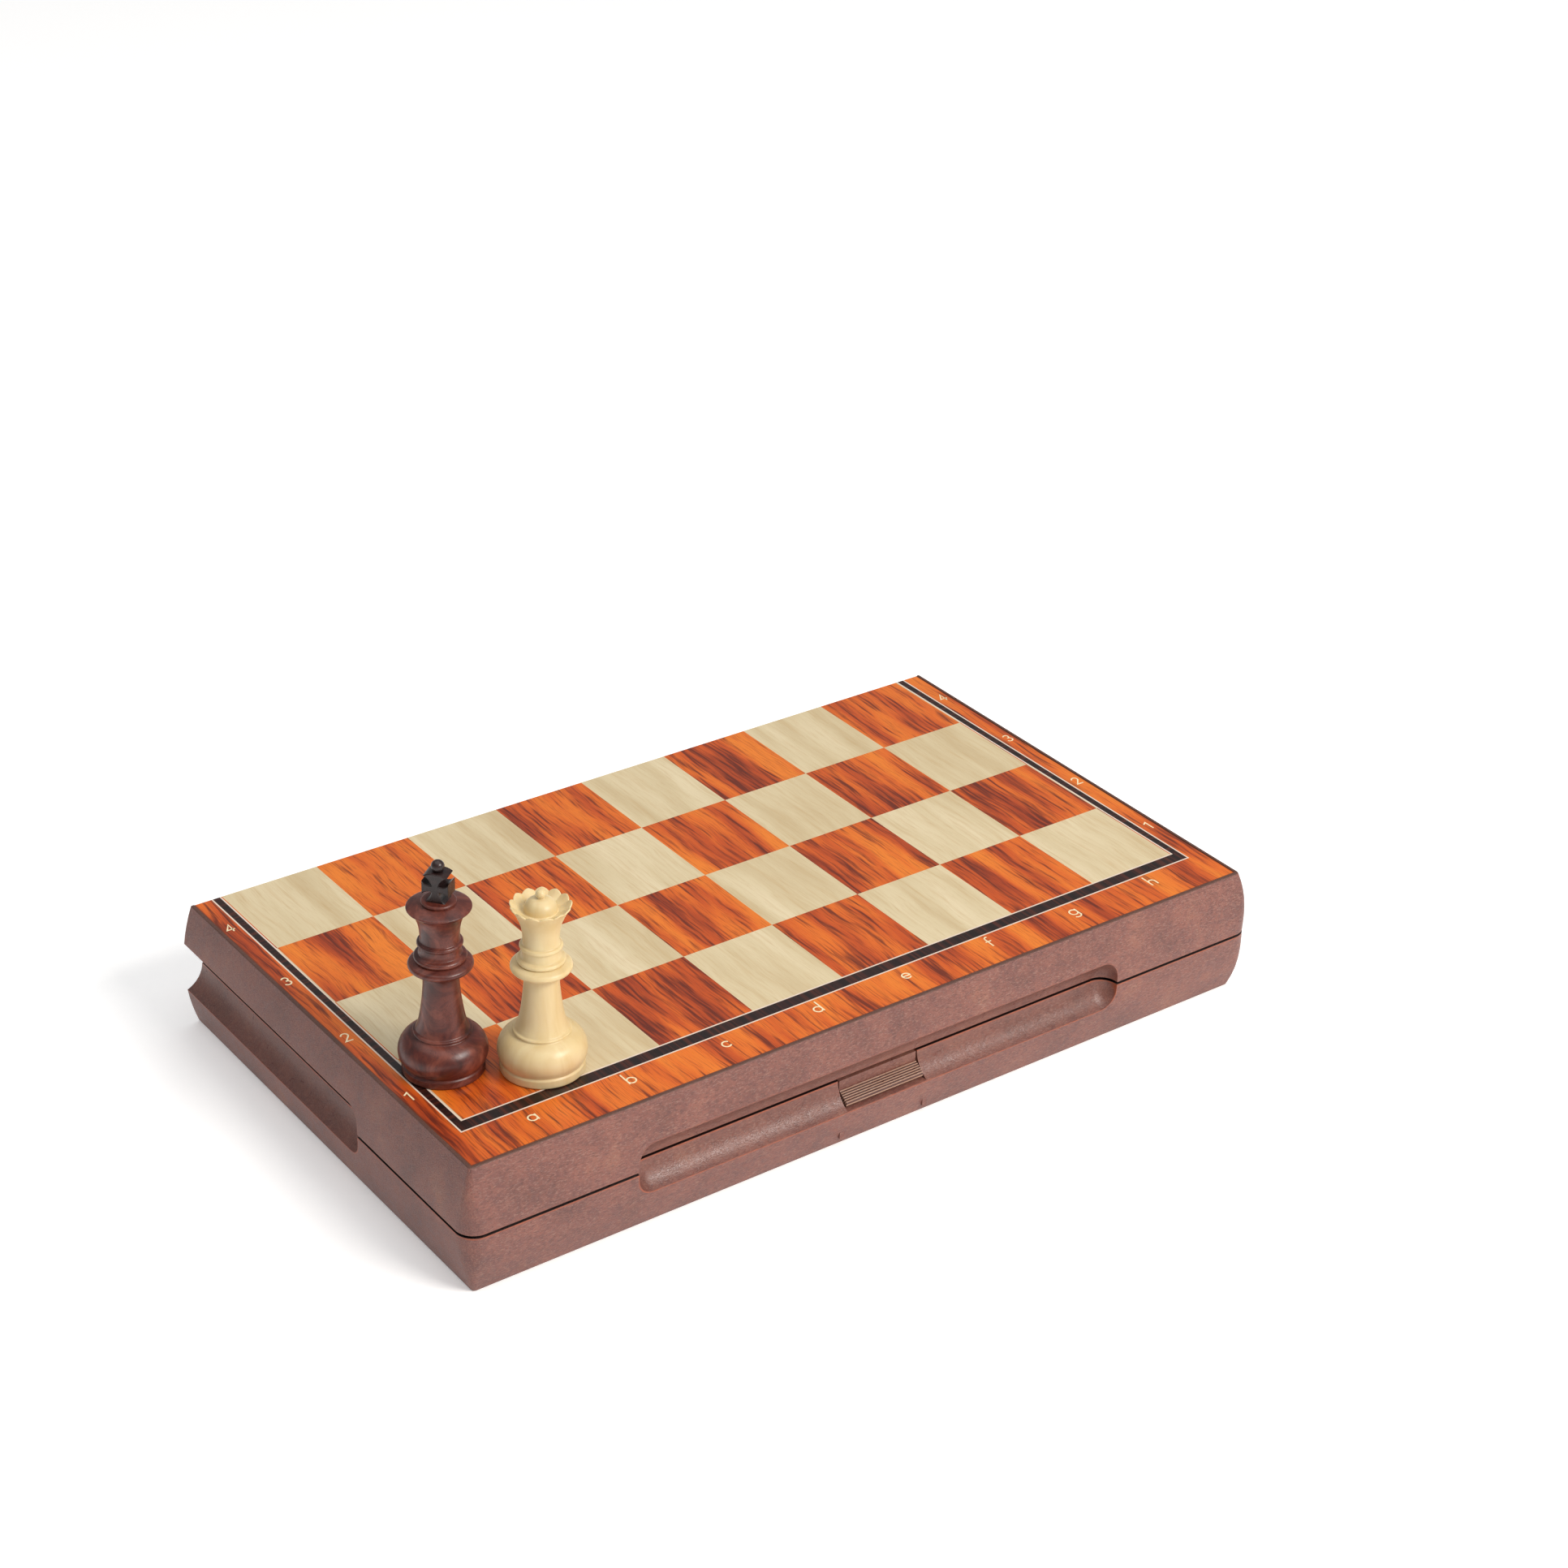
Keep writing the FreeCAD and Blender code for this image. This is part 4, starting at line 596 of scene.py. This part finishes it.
def ring_of_copies():
    """Geometry Nodes tree: copies of one wedge set round the upright axis and welded into a ring."""
    tree = bpy.data.node_groups.new("ring_of_copies", "GeometryNodeTree")
    tree.interface.new_socket("Geometry", in_out="INPUT", socket_type="NodeSocketGeometry")
    tree.interface.new_socket("Wedge", in_out="INPUT", socket_type="NodeSocketObject")
    tree.interface.new_socket("Copies", in_out="INPUT", socket_type="NodeSocketInt")
    tree.interface.new_socket("Finish", in_out="INPUT", socket_type="NodeSocketMaterial")
    tree.interface.new_socket("Geometry", in_out="OUTPUT", socket_type="NodeSocketGeometry")

    def add(kind, inputs=None, **settings):
        node = tree.nodes.new(kind)
        for name, value in settings.items():
            setattr(node, name, value)
        for name, value in (inputs or {}).items():
            if isinstance(value, bpy.types.NodeSocket):
                tree.links.new(value, node.inputs[name])
            else:
                node.inputs[name].default_value = value
        return node.outputs

    given = add("NodeGroupInput")
    wedge = add("GeometryNodeObjectInfo", {"Object": given["Wedge"]})["Geometry"]
    points = add("GeometryNodePoints", {"Count": given["Copies"]})[0]
    index = add("GeometryNodeInputIndex")[0]
    turn = add("ShaderNodeMath", {0: index, 1: 2 * math.pi}, operation="MULTIPLY")[0]
    turn = add("ShaderNodeMath", {0: turn, 1: given["Copies"]}, operation="DIVIDE")[0]
    turn = add("ShaderNodeCombineXYZ", {"Z": turn})[0]
    copies = add("GeometryNodeInstanceOnPoints", {"Points": points, "Instance": wedge, "Rotation": turn})[0]
    ring = add("GeometryNodeRealizeInstances", {0: copies})[0]
    ring = add("GeometryNodeMergeByDistance", {"Geometry": ring, "Distance": 0.001})[0]
    ring = add("GeometryNodeSetMaterial", {"Geometry": ring, "Material": given["Finish"]})[0]
    add("NodeGroupOutput", {0: ring})
    return tree


RING = ring_of_copies()


def evaluated(piece):
    """What an object's modifiers make of it, as (verts, faces); the object is then removed."""
    bpy.context.view_layer.update()
    graph = bpy.context.evaluated_depsgraph_get()
    mesh = bpy.data.meshes.new_from_object(piece.evaluated_get(graph))
    result = [v.co.copy() for v in mesh.vertices], [tuple(p.vertices) for p in mesh.polygons]
    piece.modifiers.clear()
    bpy.data.objects.remove(piece)
    return result


def plain_object(name, verts, faces):
    mesh = bpy.data.meshes.new(name)
    mesh.from_pydata([tuple(v) for v in verts], [], faces)
    piece = bpy.data.objects.new(name, mesh)
    bpy.context.scene.collection.objects.link(piece)
    return piece


def ring(name, wedge, copies, material):
    """A ring of copies of one wedge, as (verts, faces)."""
    source = plain_object(name + "_wedge", *wedge)
    holder = plain_object(name, [], [])
    modifier = holder.modifiers.new("ring", "NODES")
    modifier.node_group = RING
    values = {"Wedge": source, "Copies": copies, "Finish": material}
    for item in RING.interface.items_tree:
        if item.in_out == "INPUT" and item.name in values:
            modifier[item.identifier] = values[item.name]
    result = evaluated(holder)
    bpy.data.objects.remove(source)
    return result


def smooth_run(points, steps=6):
    """Points of a smooth curve through the given ones, after the first."""
    points = [Vector(point) for point in points]
    points = [points[0] * 2 - points[1]] + points + [points[-1] * 2 - points[-2]]
    run = []
    for a, b, c, d in zip(points, points[1:], points[2:], points[3:]):
        for step in range(1, steps + 1):
            t = step / steps
            run.append(((b * 2) + (c - a) * t + (a * 2 - b * 5 + c * 4 - d) * t * t
                        + (b * 3 - a - c * 3 + d) * t ** 3) / 2)
    return run


def profile(outline):
    """Profile of a turned man: corners, arcs, and lists of points that a smooth curve goes through."""
    points = [Vector(outline[0])]
    for item in outline[1:]:
        if isinstance(item, list):
            points += smooth_run([points[-1]] + item)
        else:
            points += arc_points(points[-1], item[:2], item[2] if len(item) == 3 else 0.0)
    return eased(points, 0.22)


# ---------------------------------------------------------------- chessmen (radius, height in mm)

MAGNET_TOP = 3.0
FELT = 0.6


def foot(felt_radius, rim_radius):
    """Underside with the recesses for magnet and felt."""
    return [(0.0, MAGNET_TOP), (5.0, MAGNET_TOP), (5.0, FELT), (felt_radius, FELT), (felt_radius, 0.0),
            (rim_radius - 0.45, 0.0)]


KING = foot(11.05, 12.65) + [
    (12.65, 0.45), (12.65, 2.55), (12.15, 3.15), (8.8, 13.3, 0.285), (8.62, 13.65), (8.5, 14.6, 0.42),
    (8.15, 14.85),
    [(7.2, 17.6), (6.4, 22.0), (5.78, 27.0), (5.5, 31.4), (5.72, 34.0), (6.9, 35.5), (8.75, 36.15)],
    (8.85, 38.5, 0.46), (8.0, 38.95), (7.25, 39.15), (7.15, 41.0, 0.44), (6.6, 41.25),
    [(6.2, 42.3), (6.2, 43.8)],
    (6.3, 44.05), (6.2, 45.6, 0.46), (6.0, 45.9),
    [(5.98, 47.2), (6.2, 50.0), (6.85, 52.7), (7.9, 54.9), (9.35, 56.4)],
    (9.66, 56.6), (9.62, 57.15, 0.3), (9.0, 57.4), (5.2, 58.1), (4.95, 58.2), (4.75, 59.35, 0.42),
    (3.9, 59.5), (0.0, 59.5),
]
QUEEN = foot(11.5, 13.1) + [
    (13.1, 0.45), (13.1, 2.8), (12.6, 3.4), (8.95, 13.3, 0.262), (8.72, 13.6), (8.55, 14.5, 0.42),
    (8.2, 14.75),
    [(7.15, 17.5), (6.3, 22.0), (5.7, 27.0), (5.43, 30.6), (5.65, 33.0), (6.8, 34.4), (8.35, 34.95)],
    (8.4, 37.25, 0.46), (7.5, 37.7), (6.8, 37.85), (6.65, 39.4, 0.44), (6.15, 39.65),
    [(5.8, 40.7), (5.8, 42.2)],
    (5.95, 42.5), (5.8, 44.0, 0.46), (5.58, 44.3),
    [(5.53, 45.6), (5.72, 48.2), (6.25, 50.8), (7.0, 52.8)],
]
QUEEN_PETALS = 13
PETAL_STEPS = 16
PETAL_ROUNDNESS = 0.8
PETAL_FLARE = 0.065
PETAL_PEAK = 0.75
PETAL_RIDGE = 0.34
LOBE_MEAN = 0.65
PETAL_WALL = [(7.0, 52.8), (7.7, 54.4), (8.5, 55.8), (9.05, 56.6), (9.15, 56.95)]
PETAL_BOWL = [(8.85, 57.0), (8.0, 56.4), (7.1, 55.8), (6.2, 55.4), (5.3, 55.1)]
QUEEN_DOME = [(5.3, 55.1), (5.05, 55.25), (1.35, 59.3, 0.21), (1.05, 59.45), (0.0, 62.0, 0.36)]
BISHOP = foot(10.7, 12.25) + [
    (12.25, 0.45), (12.25, 2.55), (11.6, 3.1), (8.4, 11.8, 0.275), (8.2, 12.1), (8.05, 12.9, 0.42),
    (7.7, 13.1),
    [(6.7, 15.6), (5.8, 19.6), (5.2, 24.0), (5.1, 27.0), (5.6, 29.2), (6.5, 30.3)],
    (6.35, 32.6, 0.46), (5.9, 32.9), (5.7, 34.1, 0.44), (4.2, 34.9),
    [(4.1, 36.2), (5.1, 38.8), (5.15, 41.5), (4.1, 44.9), (2.4, 47.6), (1.2, 48.8)],
    (1.1, 49.0), (0.0, 52.0, 0.36),
]
ROOK = foot(10.2, 11.75) + [
    (11.75, 0.4), (11.75, 2.45), (11.2, 3.0), (8.15, 11.0, 0.28), (7.95, 11.3), (7.8, 12.1, 0.42),
    (7.45, 12.3),
    [(6.6, 14.6), (5.95, 18.0), (5.7, 21.5), (6.0, 23.6), (7.1, 25.0)],
    (7.05, 26.7, 0.46), (6.75, 26.9),
    [(6.7, 28.4), (7.1, 29.8), (8.2, 30.9)],
    (8.65, 31.4), (8.65, 34.2), (0.0, 34.2),
]
PAWN = foot(9.05, 10.65) + [
    (10.65, 0.4), (10.65, 2.5), (10.1, 3.0), (7.0, 10.2, 0.275), (6.8, 10.45), (6.65, 11.2, 0.42),
    (6.3, 11.4),
    [(5.3, 13.4), (4.5, 16.2), (4.25, 18.4), (4.7, 19.9), (5.25, 20.4)],
    (5.2, 21.8, 0.46), (3.9, 22.3), (3.3, 22.5), (0.0, 34.0, 0.38),
]
KNIGHT = foot(10.3, 11.85) + [
    (11.85, 0.4), (11.85, 2.5), (11.2, 3.0), (8.4, 11.0, 0.28), (8.15, 11.3), (8.0, 12.1, 0.42),
    (7.6, 12.35), (7.4, 13.2), (0.0, 13.2),
]
HORSE = [
    (-5.6, 12.9), (6.0, 12.9), (6.8, 23.0, 0.10), (4.9, 34.6, 0.14), (1.6, 39.0, 0.12), (-1.8, 38.9, 0.14),
    (-4.4, 36.9, 0.04), (-6.7, 33.2, -0.04), (-8.6, 30.6, 0.06), (-8.9, 28.3, 0.25), (-7.2, 26.6, 0.25),
    (-5.4, 27.4, -0.1), (-4.0, 28.4, 0.05), (-1.6, 28.6, -0.15), (-4.0, 21.5, -0.14),
]
EAR = [(0.0, 0.0), (1.35, 0.3), (1.45, 2.0, 0.08), (0.0, 5.6, 0.10)]
HORSE_EDGE = 1.5
HORSE_THICKNESS = 10.6


def turned(outline, sides=72):
    return lathe(profile(outline), sides)


def petal_wedge():
    """One thirteenth of the queen's coronet: a rounded petal, scooped, with a soft ridge to its tip."""
    wall = smooth_run(PETAL_WALL, 3)
    bowl = smooth_run([wall[-1]] + PETAL_BOWL, 3)
    verts, faces = [], []
    steps = PETAL_STEPS
    rows = [Vector(PETAL_WALL[0])] + wall + bowl
    for row, point in enumerate(rows):
        on_wall = row <= len(wall)
        rise = max(0.0, (point.y - PETAL_WALL[0][1]) / 4.2)
        spread = max(0.0, (point.x - PETAL_BOWL[-1][0]) / 4.0)
        weight = min(1.0, rise ** 2 if on_wall else spread ** 1.3)
        for step in range(steps + 1):
            share = step / steps - 0.5
            angle = 2 * math.pi * share / QUEEN_PETALS
            lobe = abs(math.cos(math.pi * share)) ** PETAL_ROUNDNESS - LOBE_MEAN
            ridge = 0.0 if on_wall else PETAL_RIDGE * (1 - 2 * abs(share))
            radius = point.x * (1 + PETAL_FLARE * weight * lobe)
            height = point.y + weight * (PETAL_PEAK * lobe + ridge)
            verts.append(Vector((radius * math.cos(angle), radius * math.sin(angle), height)))
    for row in range(len(rows) - 1):
        for step in range(steps):
            low = row * (steps + 1) + step
            faces.append((low, low + 1, low + steps + 2, low + steps + 1))
    return verts, faces


def welded(verts, faces):
    """A mesh with the rows that two pieces share joined into one."""
    mesh = bmesh.new()
    corners = [mesh.verts.new(v) for v in verts]
    for face in faces:
        mesh.faces.new([corners[i] for i in face])
    bmesh.ops.remove_doubles(mesh, verts=mesh.verts, dist=0.004)
    mesh.verts.index_update()
    result = [v.co.copy() for v in mesh.verts], [tuple(v.index for v in face.verts) for face in mesh.faces]
    mesh.free()
    return result


def queen_shape(material):
    """Body, coronet and dome in one shell; their sides are set out so that the rows meet."""
    sides = QUEEN_PETALS * PETAL_STEPS
    start = math.pi / QUEEN_PETALS
    coronet = ring("coronet", petal_wedge(), QUEEN_PETALS, material)
    dome = lathe(eased(traced(QUEEN_DOME), 0.12), sides, start=start)
    return welded(*merged(lathe(profile(QUEEN), sides, start=start), coronet, dome))


MERLONS = 6
MERLON_SECTION = [(6.4, 34.0), (8.6, 34.0), (8.6, 37.6), (8.25, 38.0), (6.75, 38.0), (6.4, 37.6)]
MERLON_GAP = 2.7
MERLON_RADIUS = 7.5


def merlon_wedge():
    """One sixth of the rook's battlement, with half a gap on each side."""
    verts, faces = [], []
    half = math.pi / MERLONS - MERLON_GAP / 2 / MERLON_RADIUS
    steps = 8
    for step in range(steps + 1):
        angle = half * (2 * step / steps - 1)
        for radius, height in MERLON_SECTION:
            verts.append(Vector((radius * math.cos(angle), radius * math.sin(angle), height)))
    for step in range(steps):
        for side in range(6):
            nxt = (side + 1) % 6
            low, high = step * 6, (step + 1) * 6
            faces.append((low + side, low + nxt, high + nxt, high + side))
    faces.append(tuple(reversed(range(6))))
    faces.append(tuple(steps * 6 + side for side in range(6)))
    return verts, [tuple(reversed(face)) for face in faces]


MITRE_CUT_AT = (4.6, 0.0, 44.6)
MITRE_CUT_SIZE = (7.0, 12.0, 0.95)
MITRE_CUT_SLANT = -28


def bishop_shape():
    """The mitre has a slanting cut from one side."""
    body = plain_object("bishop_blank", *turned(BISHOP))
    blade = bmesh.new()
    bmesh.ops.create_cube(blade, size=1.0)
    tilt = Matrix.Rotation(math.radians(MITRE_CUT_SLANT), 4, "Y")
    blade.transform(Matrix.Translation(MITRE_CUT_AT) @ tilt @ Matrix.Diagonal((*MITRE_CUT_SIZE, 1.0)))
    knife_mesh = bpy.data.meshes.new("mitre_cut")
    blade.to_mesh(knife_mesh)
    knife = bpy.data.objects.new("mitre_cut", knife_mesh)
    bpy.context.scene.collection.objects.link(knife)
    cut = body.modifiers.new("cut", "BOOLEAN")
    cut.object = knife
    cut.operation = "DIFFERENCE"
    cut.solver = "EXACT"
    result = evaluated(body)
    bpy.data.objects.remove(knife)
    return result


EAR_AT = (0.4, 2.4, 37.6)
EAR_LEAN = 0.12
EYE = [(0.0, 0.0), (1.0, 0.0), (0.0, 0.75, 0.2)]
EYE_AT = (-2.2, HORSE_THICKNESS / 2 - 0.1, 33.6)
LOCKS = 7
LOCK_PITCH = 2.9
FIRST_LOCK = 17.5
CREST = 24.0                            # height where the neck's back stands out most


def knight_shape():
    """Horse's head and neck on the turned foot, with ears, eyes, and locks of mane down the back."""
    head = welded(*prism(traced(HORSE), HORSE_THICKNESS, HORSE_EDGE, rounds=4))
    extras = []
    for side in (-1, 1):
        verts, faces = lathe(eased(traced(EAR), 0.2), 20)
        extras.append(([Vector((EAR_AT[0] + v.x * 0.8, side * (EAR_AT[1] + EAR_LEAN * v.z) + v.y,
                                EAR_AT[2] + v.z)) for v in verts], faces))
        verts, faces = lathe(eased(traced(EYE), 0.1), 16)
        verts = [Vector((EYE_AT[0] + v.x, side * (EYE_AT[1] + v.z), EYE_AT[2] + v.y)) for v in verts]
        extras.append((verts, faces if side < 0 else [tuple(reversed(face)) for face in faces]))
    for step in range(LOCKS):
        height = FIRST_LOCK + step * LOCK_PITCH
        back = HORSE[1][0] + 0.6 - 0.022 * (height - CREST) ** 2 * (1 if height > CREST else 0.35)
        lock = traced([(back - 1.5, height - 1.5), (back + 0.55, height - 0.9, 0.1),
                       (back + 0.9, height + 0.7, 0.25), (back - 1.5, height + 1.3)])
        extras.append(welded(*prism(lock, HORSE_THICKNESS * 0.62, 0.3)))
    return merged(turned(KNIGHT), head, *extras)


CROSS = [
    (-3.3, 59.3), (3.3, 59.3), (1.15, 62.9, -0.10), (4.2, 61.7, -0.16), (4.2, 66.2), (1.15, 65.1, -0.16),
    (3.7, 68.1, -0.10), (0.0, 69.0, 0.10), (-3.7, 68.1, 0.10), (-1.15, 65.1, -0.10), (-4.2, 66.2, -0.16),
    (-4.2, 61.7), (-1.15, 62.9, -0.16), (-3.3, 59.3, -0.10),
]
CROSS_THICKNESS = 5.8
CROSS_BALL = [(0.0, 68.0), (0.9, 68.2), (1.0, 68.75), (0.0, 72.45, 0.40)]


def cross_shape():
    outline = traced(CROSS)[:-1]
    return merged(prism(outline, CROSS_THICKNESS, 0.28), lathe(eased(traced(CROSS_BALL), 0.1), 48))


def stand(name, shape, foot_at, up, side, body, slot, stands_for):
    """Put a man's shape on its foot, with its axis along up and its face square to side."""
    verts, faces = shape
    up, side = Vector(up), Vector(side)
    turn = Matrix((side, up.cross(side), up)).transposed()
    places = [foot_at + turn @ (v * MM) for v in verts]
    piece = new_piece(name, places, faces, FINISHES[slot], body, 32, [v * MM for v in verts])
    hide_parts(stands_for)
    return piece


SHAPES = {
    "king": turned(KING, 96), "bishop": bishop_shape(), "knight": knight_shape(), "pawn": turned(PAWN),
    "rook": merged(turned(ROOK), ring("battlement", merlon_wedge(), MERLONS, FINISHES["dark_men"])),
    "queen": queen_shape(FINISHES["cream_men"]), "cross": cross_shape(),
}


def centre_of(node):
    low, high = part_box(node)
    return (low + high) / 2, low, high


CROSS_FACES = math.radians(-52)
for colour, kind, side in (("dark", "king", (math.cos(CROSS_FACES), math.sin(CROSS_FACES), 0)),
                           ("cream", "queen", (1, 0, 0))):
    name = f"{colour}_{kind}"
    middle, low, high = centre_of(name + "_felt")
    at = Vector((middle.x, middle.y, low.z))
    stand(name + "_turned", SHAPES[kind], at, (0, 0, 1), side, name, f"{colour}_men", name)
    if kind == "king":
        stand(name + "_finial", SHAPES["cross"], at, (0, 0, 1), side, name, "dark_finial", name + "_cross")

for colour, body in (("dark", "lower_half"), ("cream", "upper_half")):
    flip = 1 if colour == "dark" else -1
    for part in frame["record"]["behaviour"]["bodies"][body]:
        words = part.split("_")
        if words[0] != colour or words[1] not in SHAPES or part.endswith("_cross"):
            continue
        middle, low, high = centre_of(part)
        if words[1] == "pawn":
            at, up, side = Vector((middle.x, low.y, middle.z)), (0, 1, 0), (flip, 0, 0)
        else:
            at = Vector((low.x if flip > 0 else high.x, middle.y, middle.z))
            up, side = (flip, 0, 0), (0, 0, -flip)
        stand(part + "_turned", SHAPES[words[1]], at, up, side, body, f"{colour}_men", part)
        if words[1] == "king":
            stand(part + "_finial", SHAPES["cross"], at, up, side, body, f"{colour}_men", part + "_cross")


# ---------------------------------------------------------------- printed letters and numbers

STROKE = 0.52
BOWL = 1.45                                            # radius of a round letter's middle line
TALL = 5.5


def round_stroke(cx, cy, rx, ry, start, end, count=28):
    """Middle line of an elliptical stroke between two angles in degrees."""
    return [Vector((cx + rx * math.cos(math.radians(start + (end - start) * step / count)),
                    cy + ry * math.sin(math.radians(start + (end - start) * step / count))))
            for step in range(count + 1)]


def straight(*points):
    return [Vector(point) for point in points]


RING_STROKE = round_stroke(0, BOWL, BOWL, BOWL, 0, 360)
GLYPHS = {
    "a": [RING_STROKE, straight((BOWL, 0), (BOWL, 2 * BOWL))],
    "b": [RING_STROKE, straight((-BOWL, 0), (-BOWL, TALL))],
    "c": [round_stroke(0, BOWL, BOWL, BOWL, 42, 318)],
    "d": [RING_STROKE, straight((BOWL, 0), (BOWL, TALL))],
    "e": [round_stroke(0, BOWL, BOWL, BOWL, 0, 318), straight((-BOWL, BOWL), (BOWL, BOWL))],
    "f": [straight((-0.3, 0), (-0.3, 4.2)) + round_stroke(0.7, 4.3, 1.0, 1.1, 180, 75, 10),
          straight((-1.1, 2.9), (0.9, 2.9))],
    "g": [RING_STROKE,
          straight((BOWL, 2 * BOWL), (BOWL, -0.5)) + round_stroke(0, -0.5, BOWL, 1.2, 0, -140, 16)],
    "h": [straight((-1.25, 0), (-1.25, TALL)),
          round_stroke(0, 1.65, 1.25, 1.25, 180, 0, 16) + straight((1.25, 0))],
    "1": [straight((-0.95, 3.4), (0.35, 4.3), (0.35, 0))],
    "2": [round_stroke(0, 3.15, 1.15, 1.15, 165, -35, 16) + straight((-1.15, 0), (1.2, 0))],
    "3": [round_stroke(0, 3.25, 1.0, 1.05, 150, -90, 16), round_stroke(0, 1.15, 1.2, 1.15, 90, -150, 18)],
    "4": [straight((0.55, 0), (0.55, 4.3), (-1.3, 1.2), (1.3, 1.2))],
    "5": [straight((1.0, 4.3), (-0.85, 4.3), (-1.0, 2.3))
          + round_stroke(-0.05, 1.4, 1.25, 1.4, 130, -145, 20)],
    "6": [round_stroke(0, 1.35, 1.2, 1.35, 0, 360), straight((0.75, 4.3), (-0.95, 2.2))],
    "7": [straight((-1.15, 4.3), (1.15, 4.3), (-0.35, 0))],
    "8": [round_stroke(0, 3.3, 0.95, 1.0, 0, 360), round_stroke(0, 1.15, 1.2, 1.15, 0, 360)],
}
INK_DEPTH = 0.03


def inked(stroke, level):
    """A stroke as a thin flat band of ink with square ends, as (verts, faces) with the print facing +Z."""
    closed = (stroke[0] - stroke[-1]).length < 1e-6
    points = stroke[:-1] if closed else stroke
    count = len(points)
    verts, faces = [], []
    for index, here in enumerate(points):
        before = points[index - 1] if index or closed else None
        after = points[(index + 1) % count] if index < count - 1 or closed else None
        into = (here - before).normalized() if before is not None else (after - here).normalized()
        out = (after - here).normalized() if after is not None else into
        way = (into + out).normalized()
        aside = Vector((-way.y, way.x)) * (STROKE / 2) / max(0.45, way.dot(into))
        place = here
        if before is None or after is None:
            place = here + (way if after is None else -way) * STROKE * 0.25
        left, right = place + aside, place - aside
        for point, height in ((left, 0.0), (right, 0.0), (right, level), (left, level)):
            verts.append(Vector((point.x, point.y, height)))
    for index in range(count if closed else count - 1):
        low, high = index * 4, ((index + 1) % count) * 4
        for side in range(4):
            nxt = (side + 1) % 4
            faces.append((low + side, low + nxt, high + nxt, high + side))
    if not closed:
        faces.append((3, 2, 1, 0))
        faces.append(tuple((count - 1) * 4 + side for side in range(4)))
    return verts, faces


def board_print(name, body, marks, surface, facing, right, up):
    """All marks of one board half as one thin mesh: (glyph, x, y) in mm on that half's surface."""
    parts = []
    right, up = Vector(right), Vector(up)
    for glyph, x, y in marks:
        tall = TALL if glyph in "bdh" else 4.3 if glyph.isdigit() else 2 * BOWL
        for number, stroke in enumerate(GLYPHS[glyph]):
            verts, faces = inked(stroke, INK_DEPTH * (0.9 + 0.1 * number))
            turned_up = up if glyph.isalpha() else Vector((0, facing, 0))
            turned_right = right if glyph.isalpha() else Vector((1, 0, 0))
            drop = tall / 2 if glyph.isdigit() else BOWL
            placed = [Vector((x, y, surface)) + turned_right * v.x + turned_up * (v.y - drop)
                      + Vector((0, 0, facing)) * v.z for v in verts]
            parts.append(([v * MM for v in placed], faces))
    verts, faces = merged(*parts)
    return new_piece(name, verts, faces, INK, body)


FILES = "abcdefgh"
for name, body, surface, facing, numbers in (
        ("upper_board_lettering", "upper_half", BOARD_TOP, 1, "1234"),
        ("lower_board_lettering", "lower_half", BOARD_UNDER, -1, "8765")):
    marks = [(FILES[step], CORNER_X + CELL_WIDTH * (step + 0.5), CORNER_Y - 10.6) for step in range(8)]
    for step, number in enumerate(numbers):
        for side in (-1, 1):
            marks.append((number, side * (-CORNER_X + 7.1), CORNER_Y + CELL_DEPTH * (step + 0.5)))
    board_print(name, body, marks, surface, facing, (facing, 0, 0), (0, 1, 0))


# ---------------------------------------------------------------- floor, light and camera

def area_light(name, place, towards, size, watts, tint):
    light = bpy.data.lights.new(name, "AREA")
    light.shape = "RECTANGLE"
    light.size, light.size_y = size
    light.energy = watts
    light.color = linear(tint)[:3]
    lamp = bpy.data.objects.new(name, light)
    bpy.context.scene.collection.objects.link(lamp)
    lamp.location = place
    lamp.rotation_euler = (Vector(towards) - Vector(place)).to_track_quat("-Z", "Y").to_euler()


def paper():
    """White sweep lit a little from below, as on a light table, so shadows stay faint."""
    f = Finish("white_paper_sweep")
    tooth = f.add("TexNoise", {"Vector": f.place, "Scale": 0.4, "Detail": 3.0})
    tone = f.add("ValToRGB", {0: tooth}, stops=[(0.3, "F4F4F4"), (0.7, "F8F8F8")])
    return f.surface({"Base Color": tone, "Roughness": 0.85, "IOR": 1.45, "Emission Color": "FFFFFF",
                      "Emission Strength": 0.26})


floor_mesh = bpy.data.meshes.new("paper_floor")
floor_mesh.from_pydata([(-6, -6, 0), (6, -6, 0), (6, 6, 0), (-6, 6, 0)], [], [(0, 1, 2, 3)])
floor_mesh.materials.append(paper())
floor = bpy.data.objects.new("paper_floor", floor_mesh)
bpy.context.scene.collection.objects.link(floor)

world = bpy.data.worlds.new("studio_air")
world.use_nodes = True
world.node_tree.nodes["Background"].inputs[0].default_value = (1.0, 1.0, 1.0, 1.0)
world.node_tree.nodes["Background"].inputs[1].default_value = 0.30
bpy.context.scene.world = world
area_light("key_softbox", (0.55, -1.45, 1.35), (0.0, 0.0, 0.03), (0.9, 0.6), 34.0, "FFFAF4")
area_light("top_softbox", (0.0, 0.3, 3.2), (0.0, 0.3, 0.0), (4.0, 4.0), 58.0, "FFFFFF")

CAMERA_PLACE = (-0.5281, -0.7320, 0.5860)
CAMERA_TURNS = ((-36.978, "Z"), (60.971, "X"), (1.760, "Z"))      # heading, tilt up from straight down, roll
camera_data = bpy.data.cameras.new("camera")
camera_data.sensor_width = 36.0
camera_data.lens = 72.79
camera_data.clip_end = 50.0
camera = bpy.data.objects.new("camera", camera_data)
bpy.context.scene.collection.objects.link(camera)
pose = Matrix.Translation(CAMERA_PLACE)
for angle, axis in CAMERA_TURNS:
    pose = pose @ Matrix.Rotation(math.radians(angle), 4, axis)
camera.matrix_world = pose
bpy.context.scene.camera = camera
